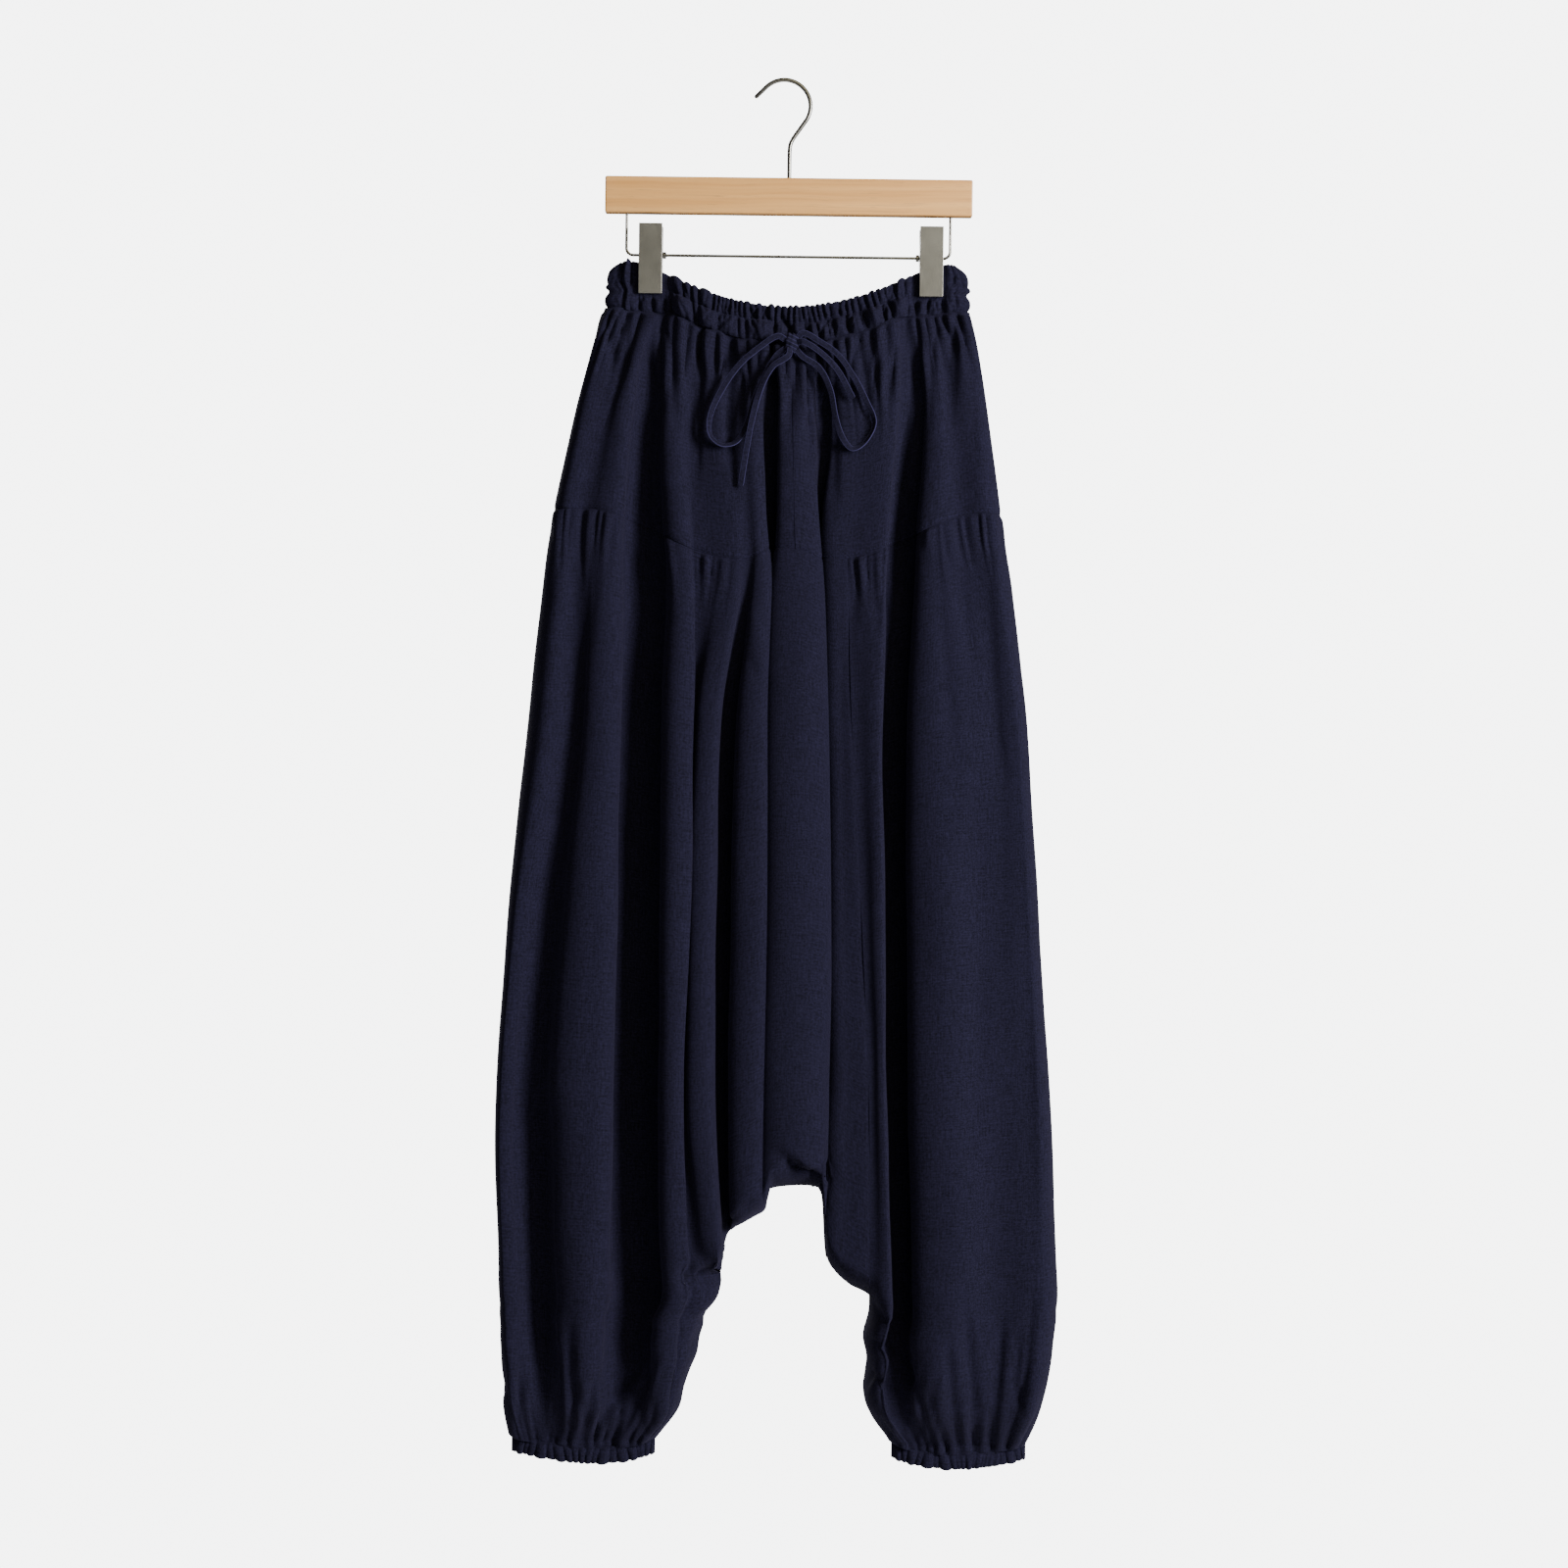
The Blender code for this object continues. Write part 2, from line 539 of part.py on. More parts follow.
def waistband(name, layer, gathers, material):
    """Half of the gathered waistband, with a fine casing above and a puffed drawstring casing below."""
    columns = 2 * gathers
    side = TOWARDS[layer]
    grid = []
    for share, puff in BAND_ROWS:
        walls = []
        for column in range(columns + 1):
            across = column / columns
            angle = math.pi * (across - 0.5)
            x = BAND_HALF * (0.4 * math.sin(angle) + 0.6 * (2 * across - 1))
            oval, inward = round_ends(math.asin(x / BAND_HALF), BAND_HALF, BAND_DEPTH)
            free = (1 - near_clip(x, PLAIN_FADE)) * smooth(0.0, 0.04, min(across, 1 - across))
            fold = (1 if column % 2 else -1) * (UPPER_GATHER if share < 0.5 else 0)
            fold += (1 if column // 2 % 2 else -1) * (LOWER_PUFF if share > 0.5 else 0)
            depth = pinched(x, oval.y, 1.0) + free * (BAND_SWELL * puff + fold * (0.4 + 0.6 * abs(puff)))
            depth = max(SEAM_GAP / 2, depth) if 0 < column < columns else SEAM_GAP / 2
            ruffle = free * (1 if column % 4 < 2 else -1) * BAND_RUFFLE * (1 - share)
            drop = band_top(x) + (band_seam(x) - SEAM_GAP / 2 - band_top(x)) * share + ruffle
            drop += BAND_ENDS_DIP * (1 - smooth(0, BAND_DEPTH, BAND_HALF - abs(x))) * (1 - share)
            outer = Vector((x, side * depth, drop))
            walls.append((outer, outer + Vector((inward.x, side * inward.y, 0)) * BAND_CLOTH))
        grid.append(walls)
    return cloth_wall(name, in_frame(grid), material)


def cuff(name, layer, ends, material):
    """Half of an ankle's gathered elastic casing."""
    columns = 2 * CUFF_GATHERS
    side = TOWARDS[layer]
    middle, reach = (ends[0] + ends[1]) / 2, (ends[1] - ends[0]) / 2
    grid = []
    for share, swell in CUFF_ROWS:
        walls = []
        for column in range(columns + 1):
            angle = math.pi * (column / columns - 0.5)
            oval, inward = round_ends(angle, reach, CUFF_DEPTH)
            free = smooth(0.0, 0.5, math.cos(angle))
            fold = free * ((1 if column % 2 else -1) * CUFF_GATHER + swell)
            depth = max(SEAM_GAP / 2, oval.y + fold)
            x = middle + oval.x
            drop = hem_seam(x) + SEAM_GAP / 2 + (CUFF_HEIGHT - SEAM_GAP / 2) * share + fold * share / 2
            outer = Vector((x, side * depth, drop))
            walls.append((outer, outer + Vector((inward.x, side * inward.y, 0)) * BAND_CLOTH))
        grid.append(walls)
    return cloth_wall(name, in_frame(grid), material)


def wire(name, points, radius, material, resolution=2):
    """A bent wire: a straight-run curve with a round bevel and filled ends."""
    curve = bpy.data.curves.new(name, "CURVE")
    curve.dimensions = "3D"
    curve.bevel_depth = radius * MM
    curve.bevel_resolution = resolution
    curve.use_fill_caps = True
    spline = curve.splines.new("POLY")
    spline.points.add(len(points) - 1)
    for spot, point in zip(spline.points, points):
        spot.co = (*point_of(*point), 1.0)
    return finished(name, curve, material)


def arc(centre_x, centre_drop, radius, start, end, steps):
    """Points on an arc in the hanger's plane. Angles are in degrees, from the right and towards the top."""
    turned = [math.radians(start + (end - start) * i / steps) for i in range(steps + 1)]
    return [(centre_x + radius * math.cos(t), 0, centre_drop - radius * math.sin(t)) for t in turned]


def hanger_hook(material):
    """The question-mark hook: stem, slanted neck, round crown and a straight tip."""
    crown_x, crown_drop = -GARMENT_X, HOOK_RADIUS - HOOK_WIRE
    stem = [(0, 0, BAR_TOP - SEAM_GAP)] + [(x, 0, drop) for x, drop in HOOK_STEM]
    crown = arc(crown_x, crown_drop, HOOK_RADIUS, *HOOK_TURN, 14)
    tip = (crown_x + HOOK_TIP[0], 0, HOOK_TIP[1])
    return wire("hanger_hook", stem + crown + [tip], HOOK_WIRE, material)


def hanger_frame(material):
    """The wire that carries the clips, bent down from the bar's ends."""
    corner_x, corner_drop = FRAME_HALF - FRAME_CORNER, ROD_DROP - FRAME_CORNER
    left = arc(-corner_x, corner_drop, FRAME_CORNER, 180, 270, 3)
    right = arc(corner_x, corner_drop, FRAME_CORNER, 270, 360, 3)
    rod = [(-FRAME_STRAIGHT, 0, ROD_DROP), (FRAME_STRAIGHT, 0, ROD_DROP)]
    top = BAR_TOP + BAR_HEIGHT + SEAM_GAP
    points = [(-FRAME_HALF, 0, top)] + left + rod + right + [(FRAME_HALF, 0, top)]
    return wire("hanger_frame", points, FRAME_WIRE, material)


def hanger_bar(material):
    bm = bmesh.new()
    bmesh.ops.create_cube(bm, size=1.0)
    bmesh.ops.scale(bm, vec=Vector((BAR_LENGTH, BAR_DEPTH, BAR_HEIGHT)) * MM, verts=bm.verts)
    bmesh.ops.translate(bm, vec=point_of(0, 0, BAR_TOP + BAR_HEIGHT / 2), verts=bm.verts)
    mesh = bpy.data.meshes.new("hanger_bar")
    bm.to_mesh(mesh)
    bm.free()
    made = finished("hanger_bar", mesh, material)
    edges = made.modifiers.new("eased_edges", "BEVEL")
    edges.width = 1.2 * MM
    edges.segments = 2
    return made


# A clip jaw's side, from its top round to its bottom: distance from the middle plane, and drop below its top
JAW_BACK = ((9.0, 0.0), (1.8, 19.0), (1.8, 28.5), (JAW_HALF, 31.5), (JAW_HALF, CLIP_LENGTH))
JAW_FRONT = ((9.6, CLIP_LENGTH), (12.6, 0.0))


def clip_jaw(name, centre, layer, material):
    """One pressed steel jaw: a face with two ears and turned ends, open towards the other jaw."""
    side = TOWARDS[layer]
    bm = bmesh.new()
    outline = JAW_BACK + JAW_FRONT
    left = centre - CLIP_WIDTH / 2
    ring = [bm.verts.new(point_of(left, side * y, CLIP_TOP + drop)) for y, drop in outline]
    cap = bm.faces.new(ring)
    swept = bmesh.ops.extrude_face_region(bm, geom=[cap], use_keep_orig=True)
    moved = [item for item in swept["geom"] if isinstance(item, bmesh.types.BMVert)]
    bmesh.ops.translate(bm, vec=Vector((CLIP_WIDTH * MM, 0, 0)), verts=moved)
    bmesh.ops.recalc_face_normals(bm, faces=bm.faces)
    bm.faces.ensure_lookup_table()
    inner_side = [f for f in bm.faces if f.normal.y * side < -0.2 and len(f.verts) == 4]
    bmesh.ops.delete(bm, geom=inner_side, context="FACES")
    mesh = bpy.data.meshes.new(name)
    bm.to_mesh(mesh)
    bm.free()
    made = finished(name, mesh, material, smooth_shaded=False)
    steel = made.modifiers.new("sheet_steel", "SOLIDIFY")
    steel.thickness = CLIP_STEEL * MM
    steel.offset = -1
    return made


def turned_piece(name, profile, centre, material, steps=16):
    """A ring on the clip rod: a closed profile of (radius, x) pairs, turned about the rod."""
    bm = bmesh.new()
    ring = [bm.verts.new((x * MM, 0, radius * MM)) for radius, x in profile]
    face = bm.faces.new(ring)
    edges = list(face.edges)
    bmesh.ops.spin(
        bm, geom=edges, cent=(0, 0, 0), axis=(1, 0, 0), angle=math.tau, steps=steps, use_merge=True
    )
    bmesh.ops.delete(bm, geom=[face], context="FACES_ONLY")
    bmesh.ops.remove_doubles(bm, verts=bm.verts, dist=1e-6)
    bmesh.ops.recalc_face_normals(bm, faces=bm.faces)
    bmesh.ops.translate(bm, vec=point_of(centre, 0, ROD_DROP), verts=bm.verts)
    mesh = bpy.data.meshes.new(name)
    bm.to_mesh(mesh)
    bm.free()
    return finished(name, mesh, material)


def clip(name, centre, material):
    """A sprung clip on the rod: two jaws, the spring barrel between them and a collar beside it."""
    clip_jaw(name + "_front_jaw", centre, "front", material)
    clip_jaw(name + "_back_jaw", centre, "back", material)
    bore = FRAME_WIRE + SEAM_GAP
    reach = CLIP_WIDTH / 2 - CLIP_STEEL - SEAM_GAP
    barrel = ((bore, -reach), (bore, reach), (SPRING_RADIUS, reach), (SPRING_RADIUS, -reach))
    turned_piece(name + "_spring", barrel, centre, material)
    inward = -1 if centre > 0 else 1
    start = inward * (CLIP_WIDTH / 2 + SEAM_GAP)
    low, high = sorted((start, start + inward * COLLAR_WIDTH))
    collar = ((bore, low), (bore, high), (COLLAR_RADIUS, high), (COLLAR_RADIUS, low))
    turned_piece(name + "_collar", collar, centre, material)


# The drawstring's bow. Each stretch leaves the knot towards the first point of its route, and a loop comes
# back to it from the last one. Points are x, y and drop.
TIE_RADIUS = 2.0
TIE_STUB = 2.0  # a stretch stands square to the knot for this far
KNOT = (4.0, -21.9, 232.0)
KNOT_SIZE = (13.0, 8.0, 17.0)
TIE_ROUTES = {
    "tie_loop_left": (
        (-8, -22.4, 226), (-20, -22.2, 233), (-40, -22.0, 250), (-56, -23.8, 273), (-66, -24.8, 296),
        (-66, -25.8, 313), (-56, -27.4, 322), (-43, -27.0, 319), (-34, -26.4, 303), (-27, -24.8, 279),
        (-17, -22.0, 257), (-9, -21.6, 243),
    ),
    "tie_end_left": (
        (1, -27.5, 244), (-12, -27.5, 253), (-22, -29.3, 272), (-29, -31.0, 297), (-34, -30.2, 325),
        (-39, -29.0, 358),
    ),
    "tie_loop_right": (
        (14, -22.0, 223), (28, -20.6, 230), (44, -20.4, 241), (59, -23.0, 262), (70, -24.2, 283),
        (77, -25.0, 301), (70, -26.4, 317), (58, -27.4, 324), (49, -26.2, 314), (43, -23.8, 296),
        (38, -22.4, 272), (28, -20.8, 253), (13, -21.6, 243),
    ),
    "tie_end_right": ((14, -26.0, 231), (29, -24.8, 240), (44, -23.8, 255), (58, -24.4, 280)),
}
TIE_POINTS = {"tie_loop_left": 29, "tie_end_left": 16, "tie_loop_right": 31, "tie_end_right": 9}


def beside_knot(point):
    """The end of a stretch that runs between the knot and a point, and its stub's end, square to the knot."""
    way, halves = Vector(point) - Vector(KNOT), Vector(KNOT_SIZE) / 2
    on_knot = way / math.sqrt(sum((d / half) ** 2 for d, half in zip(way, halves)))
    square = Vector([d / half**2 for d, half in zip(on_knot, halves)]).normalized()
    return [tuple(Vector(KNOT) + on_knot + square * out) for out in (SEAM_GAP, TIE_STUB)]


def tie_route(name):
    """Points on the smooth curve through a stretch's own points, evenly spaced beyond its stubs."""
    route = TIE_ROUTES[name]
    looped = "loop" in name
    own = beside_knot(route[0]) + list(route) + (beside_knot(route[-1])[::-1] if looped else [])
    lengths = [0.0]
    for a, b in zip(own, own[1:]):
        lengths.append(lengths[-1] + math.dist(a, b))
    first, last = lengths[1], lengths[-2] if looped else lengths[-1]
    steps = TIE_POINTS[name]
    spots = [0.0] + [first + (last - first) * i / steps for i in range(steps + 1)] + [lengths[-1]] * looped
    return [tuple(through(lengths, [p[k] for p in own], spot) for k in range(3)) for spot in spots]


def drawstring(material):
    """The bow in front of the waistband: a knot, two loops and two free ends."""
    for name in TIE_ROUTES:
        wire(name, tie_route(name), TIE_RADIUS, material)
    bm = bmesh.new()
    bmesh.ops.create_uvsphere(bm, u_segments=12, v_segments=8, radius=0.5)
    bmesh.ops.scale(bm, vec=Vector(KNOT_SIZE) * MM, verts=bm.verts)
    bmesh.ops.translate(bm, vec=point_of(*KNOT), verts=bm.verts)
    mesh = bpy.data.meshes.new("tie_knot")
    bm.to_mesh(mesh)
    bm.free()
    finished("tie_knot", mesh, material)


def trousers_cloth(material):
    for layer, per_fold in PER_FOLD.items():
        waistband(f"waistband_{layer}", layer, GATHERS[layer], material)
        end = len(CHAINS[layer]) - 1
        centre = place_of(layer, "centre_roll")
        for side, ends in (("left", (0, centre)), ("right", (centre, end))):
            rows = functools.partial(yoke_rows, layer)
            panel(f"yoke_{layer}_{side}", layer, ends, per_fold, rows, (YOKE_GATHER, 0), material)
        for side, seam, fork in (("left", "seam_left", LEFT_FORK), ("right", "seam_right", RIGHT_FORK)):
            ends = (0, place_of(layer, seam)) if side == "left" else (place_of(layer, seam), end)
            rows = functools.partial(leg_rows, layer, fork=fork)
            panel(f"leg_{layer}_{side}", layer, ends, per_fold, rows, (LEG_GATHER, ANKLE_GATHER), material)
            cuff(f"cuff_{layer}_{side}", layer, CUFFS[side], material)
        gusset(f"gusset_{layer}", layer, GUSSET_PER_FOLD, material)


for old in list(bpy.data.objects):
    bpy.data.objects.remove(old)
trousers = collection_for("harem_trousers")
CHAINS = {layer: chain_of(layer) for layer in LAYERS}
navy = material_for("navy_cloth", (0.012, 0.014, 0.05), 0.9)
wood = material_for("beech", (0.62, 0.40, 0.20), 0.45)
steel = material_for("satin_steel", (0.62, 0.60, 0.56), 0.35, 1.0)

hanger_hook(steel)
hanger_bar(wood)
hanger_frame(steel)
for name, centre in CLIPS.items():
    clip(name, centre, steel)
trousers_cloth(navy)
drawstring(navy)
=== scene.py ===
import json
import math
import random

import bmesh
import bpy
import numpy as np
from mathutils import Matrix, Vector

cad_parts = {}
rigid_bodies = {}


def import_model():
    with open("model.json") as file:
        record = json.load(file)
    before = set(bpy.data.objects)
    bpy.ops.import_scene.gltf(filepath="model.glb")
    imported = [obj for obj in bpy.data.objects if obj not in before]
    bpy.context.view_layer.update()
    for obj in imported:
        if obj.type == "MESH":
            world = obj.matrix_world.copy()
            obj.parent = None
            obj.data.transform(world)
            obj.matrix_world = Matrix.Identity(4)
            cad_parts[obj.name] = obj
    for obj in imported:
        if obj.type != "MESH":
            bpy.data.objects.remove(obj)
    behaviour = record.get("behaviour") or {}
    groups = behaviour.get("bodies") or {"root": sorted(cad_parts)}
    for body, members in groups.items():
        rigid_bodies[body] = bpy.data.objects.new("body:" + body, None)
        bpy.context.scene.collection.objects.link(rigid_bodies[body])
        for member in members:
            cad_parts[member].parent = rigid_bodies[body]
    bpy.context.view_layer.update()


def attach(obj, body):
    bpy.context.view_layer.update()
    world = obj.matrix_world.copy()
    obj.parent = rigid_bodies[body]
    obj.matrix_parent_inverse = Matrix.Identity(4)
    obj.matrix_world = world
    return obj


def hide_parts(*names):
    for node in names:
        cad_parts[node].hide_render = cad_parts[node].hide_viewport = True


for old in list(bpy.data.objects):
    bpy.data.objects.remove(old)
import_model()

# Tables are in millimetres: x to the right of the bar's middle, y to the back, drop below the hook's crown
mm = 0.001
garmentX = 5.0
towards = {"front": -1, "back": 1}


def inFrame(x, y, drop):
    return np.stack([(x + garmentX) * mm, y * mm, -drop * mm], axis=-1)


# The camera stands square to the garment, as in the photograph
cameraAt = {
    "middle": (2.0, 616.0),  # x and drop at the middle of the picture
    "pictureWidth": 1376.0,  # what the picture takes in at the garment
    "distance": 3000.0,
    "turned": -0.7,  # degrees
    "sensor": 36.0,
}


def placed(name, data):
    # A new object in the scene
    made = bpy.data.objects.new(name, data)
    bpy.context.scene.collection.objects.link(made)
    return made


print("camera")
cameraData = bpy.data.cameras.new("camera")
cameraData.sensor_width = cameraAt["sensor"]
cameraData.lens = cameraAt["sensor"] * cameraAt["distance"] / cameraAt["pictureWidth"]
camera = placed("camera", cameraData)
camera.location = inFrame(cameraAt["middle"][0], -cameraAt["distance"], cameraAt["middle"][1])
camera.rotation_euler = (math.radians(90), math.radians(cameraAt["turned"]), 0)
bpy.context.scene.camera = camera


# Materials


def newMaterial(name):
    made = bpy.data.materials.new(name)
    made.use_nodes = True
    return made, made.node_tree, made.node_tree.nodes["Principled BSDF"]


def setInputs(tree, node, values):
    # A value is a constant, or another node's output to link
    for key, value in values.items():
        if isinstance(value, bpy.types.NodeSocket):
            tree.links.new(value, node.inputs[key])
        else:
            node.inputs[key].default_value = value


def addNode(tree, kind, values, **settings):
    made = tree.nodes.new(kind)
    for key, value in settings.items():
        setattr(made, key, value)
    setInputs(tree, made, values)
    return made


def mathNode(tree, operation, *values):
    return addNode(tree, "ShaderNodeMath", dict(enumerate(values)), operation=operation).outputs[0]


def mixNode(tree, factor, low, high):
    return addNode(tree, "ShaderNodeMix", {0: factor, 6: low, 7: high}, data_type="RGBA").outputs[2]


def rangeNode(tree, value, low, high, start=0.0, end=1.0):
    values = {"Value": value, "From Min": low, "From Max": high, "To Min": start, "To Max": end}
    return addNode(tree, "ShaderNodeMapRange", values).outputs[0]


def noiseNode(tree, vector, scale, detail, roughness=0.5):
    values = {"Vector": vector, "Scale": scale, "Detail": detail, "Roughness": roughness}
    return addNode(tree, "ShaderNodeTexNoise", values).outputs


def stretchedNoise(tree, vector, stretch, detail):
    mapping = addNode(tree, "ShaderNodeMapping", {"Vector": vector, "Scale": stretch})
    return noiseNode(tree, mapping.outputs[0], 1.0, detail)["Fac"]


def addBump(tree, shader, height, strength, distance):
    bump = addNode(tree, "ShaderNodeBump", {"Height": height, "Strength": strength, "Distance": distance})
    tree.links.new(bump.outputs[0], shader.inputs["Normal"])


def lifted(colour, lift):
    return tuple(channel * lift for channel in colour[:3]) + (1,)


cloth = {
    "dark": (0.0034, 0.0031, 0.0086, 1),
    "light": (0.0138, 0.0123, 0.0338, 1),
    "shades": (0.80, 1.20),  # from the darkest to the lightest slub
    "thread": 0.0007,
    "threadDepth": 0.00012,
    "slubs": ((60.0, 1500.0, 1.0), (1500.0, 60.0, 1.0)),
    "slubHeight": 1.6,
    "fuzz": (520.0, 3.0, 0.75),  # scale, detail and roughness
    "bump": 0.6,
    "look": {
        "Roughness": 0.92,
        "Specular IOR Level": 0.12,
        "Sheen Weight": 0.06,
        "Sheen Roughness": 0.45,
        "Sheen Tint": (0.44, 0.37, 0.80, 1),
    },
    "threadLift": 2.6,  # how much paler than the cloth the stitches are, and the tape
    "tapeLift": 1.05,
    "tapeHighlight": (0.0017, 0.0024, 0.9),  # from and to which distance from its middle a tape's painted edge highlight starts and ends, and how much it pales
    # how much lighter than the cloth's light colour the painted highlight on a tape's edges is
    "highlightLift": 3.2,
}


# A plain weave of two sets of threads, with thicker slubs along both
def makeWeave():
    group = bpy.data.node_groups.new("plainWeave", "ShaderNodeTree")
    group.interface.new_socket("Cloth", in_out="INPUT", socket_type="NodeSocketVector")
    group.interface.new_socket("Thread", in_out="INPUT", socket_type="NodeSocketFloat")
    for socketName in ("Height", "Slub", "Fuzz"):
        group.interface.new_socket(socketName, in_out="OUTPUT", socket_type="NodeSocketFloat")
    given, out = group.nodes.new("NodeGroupInput"), group.nodes.new("NodeGroupOutput")
    spot = given.outputs["Cloth"]
    spread = addNode(group, "ShaderNodeSeparateXYZ", {0: spot})
    ridges = []
    for axis in (0, 1):
        turns = mathNode(group, "DIVIDE", spread.outputs[axis], given.outputs["Thread"])
        wave = mathNode(group, "SINE", mathNode(group, "MULTIPLY", turns, math.pi))
        ridges.append(mathNode(group, "ABSOLUTE", wave))
    slubs = [stretchedNoise(group, spot, stretch, 2.0) for stretch in cloth["slubs"]]
    slub = mathNode(group, "MULTIPLY", mathNode(group, "ADD", *slubs), 0.5)
    fuzz = noiseNode(group, spot, *cloth["fuzz"])["Fac"]
    crossed = mathNode(group, "MULTIPLY", *ridges)
    height = mathNode(group, "ADD", crossed, mathNode(group, "MULTIPLY", slub, cloth["slubHeight"]))
    setInputs(group, out, {"Height": height, "Slub": slub, "Fuzz": fuzz})
    return group


def makeNavy(name, weave, lift=1.0, edge=None):
    made, tree, shader = newMaterial(name)
    uv = addNode(tree, "ShaderNodeUVMap", {}, uv_map="cloth").outputs[0]
    woven = addNode(tree, "ShaderNodeGroup", {"Cloth": uv, "Thread": cloth["thread"]}, node_tree=weave)
    both = mathNode(tree, "ADD", woven.outputs["Slub"], woven.outputs["Fuzz"])
    shade = rangeNode(tree, both, *cloth["shades"])
    light = lifted(cloth["light"], lift)
    colour = mixNode(tree, shade, lifted(cloth["dark"], lift), light)
    if edge:
        # A painted highlight: a tape's edges are paler, as if lit along them; its UV runs across it from its
        # middle
        start, end, share = edge
        across = addNode(tree, "ShaderNodeSeparateXYZ", {0: uv}).outputs[1]
        paintedHighlight = rangeNode(tree, mathNode(tree, "ABSOLUTE", across), start, end, 0.0, share)
        colour = mixNode(tree, paintedHighlight, colour, lifted(light, cloth["highlightLift"]))
    addBump(tree, shader, woven.outputs["Height"], cloth["bump"], cloth["threadDepth"])
    setInputs(tree, shader, {"Base Color": colour, **cloth["look"]})
    return made


wood = {
    "pale": (0.86, 0.455, 0.150, 1),
    "warm": (0.70, 0.335, 0.096, 1),
    "pore": (0.30, 0.155, 0.07, 1),
    "look": {"Roughness": 0.42, "Coat Weight": 0.25, "Coat Roughness": 0.35},
    "wander": (9.0, 2.0),
    "bend": (0.0, 0.006, 0.006),
    "broad": (3.0, 190.0, 190.0),
    "fine": (11.0, 900.0, 900.0),
    "flecks": (45.0, 1500.0, 1500.0),
    "shades": (0.35, 0.65),  # between which the broad grain turns from pale to warm
    "porous": (0.62, 0.72, 0.0, 0.30),  # and the fine grain and flecks start to show, and how much they do
    "flecked": (0.68, 0.74, 0.0, 0.45),
    "bump": (0.35, 0.00012),
}


def makeBeech():
    made, tree, shader = newMaterial("beech")
    spot = addNode(tree, "ShaderNodeTexCoord", {}).outputs["Object"]
    values = {0: noiseNode(tree, spot, *wood["wander"])["Color"], 1: wood["bend"], 2: spot}
    bent = addNode(tree, "ShaderNodeVectorMath", values, operation="MULTIPLY_ADD").outputs[0]
    broad = stretchedNoise(tree, bent, wood["broad"], 3.0)
    fine = stretchedNoise(tree, bent, wood["fine"], 2.0)
    flecks = stretchedNoise(tree, bent, wood["flecks"], 1.0)
    colour = mixNode(tree, rangeNode(tree, broad, *wood["shades"]), wood["pale"], wood["warm"])
    colour = mixNode(tree, rangeNode(tree, fine, *wood["porous"]), colour, wood["pore"])
    colour = mixNode(tree, rangeNode(tree, flecks, *wood["flecked"]), colour, wood["pore"])
    addBump(tree, shader, mathNode(tree, "MULTIPLY", fine, -1.0), *wood["bump"])
    setInputs(tree, shader, {"Base Color": colour, **wood["look"]})
    return made


steelLooks = {
    "satinSteel": {"colour": (0.42, 0.405, 0.365, 1), "roughness": 0.36, "brushed": (3000.0, 3000.0, 40.0)},
    "wireSteel": {"colour": (0.27, 0.26, 0.235, 1), "roughness": 0.24, "brushed": (900.0, 900.0, 900.0)},
}
plating = {"cloud": (60.0, 2.0), "spread": (-0.08, 0.12), "darkest": 0.8, "bump": (0.25, 0.00005)}


def makeSteel(name):
    made, tree, shader = newMaterial(name)
    look = steelLooks[name]
    spot = addNode(tree, "ShaderNodeTexCoord", {}).outputs["Object"]
    brush = stretchedNoise(tree, spot, look["brushed"], 3.0)
    cloud = noiseNode(tree, spot, *plating["cloud"])["Fac"]
    both = mathNode(tree, "MULTIPLY", mathNode(tree, "ADD", brush, cloud), 0.5)
    rough = rangeNode(tree, both, 0.0, 1.0, *(look["roughness"] + step for step in plating["spread"]))
    colour = mixNode(tree, both, lifted(look["colour"], plating["darkest"]), look["colour"])
    addBump(tree, shader, brush, *plating["bump"])
    setInputs(tree, shader, {"Base Color": colour, "Roughness": rough, "Metallic": 1.0})
    return made


print("materials")
plainWeave = makeWeave()
navyCloth = makeNavy("navyCloth", plainWeave)
navyTape = makeNavy("navyTape", plainWeave, cloth["tapeLift"], cloth["tapeHighlight"])
navyThread = makeNavy("navyThread", plainWeave, cloth["threadLift"])
beech = makeBeech()
satinSteel = makeSteel("satinSteel")
wireSteel = makeSteel("wireSteel")


def nodeOf(name):
    # legFrontLeft stands for the solid leg_front_left, and so on
    return "".join("_" + letter.lower() if letter.isupper() else letter for letter in name)


def finishPiece(name, data, material, added=False):
    # An added piece stands for no solid
    piece = placed(name, data)
    data.materials.append(material)
    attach(piece, "root")
    if not added:
        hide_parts(nodeOf(name))
    return piece


def meshOf(name, bm):
    mesh = bpy.data.meshes.new(name)
    bm.to_mesh(mesh)
    bm.free()
    return mesh


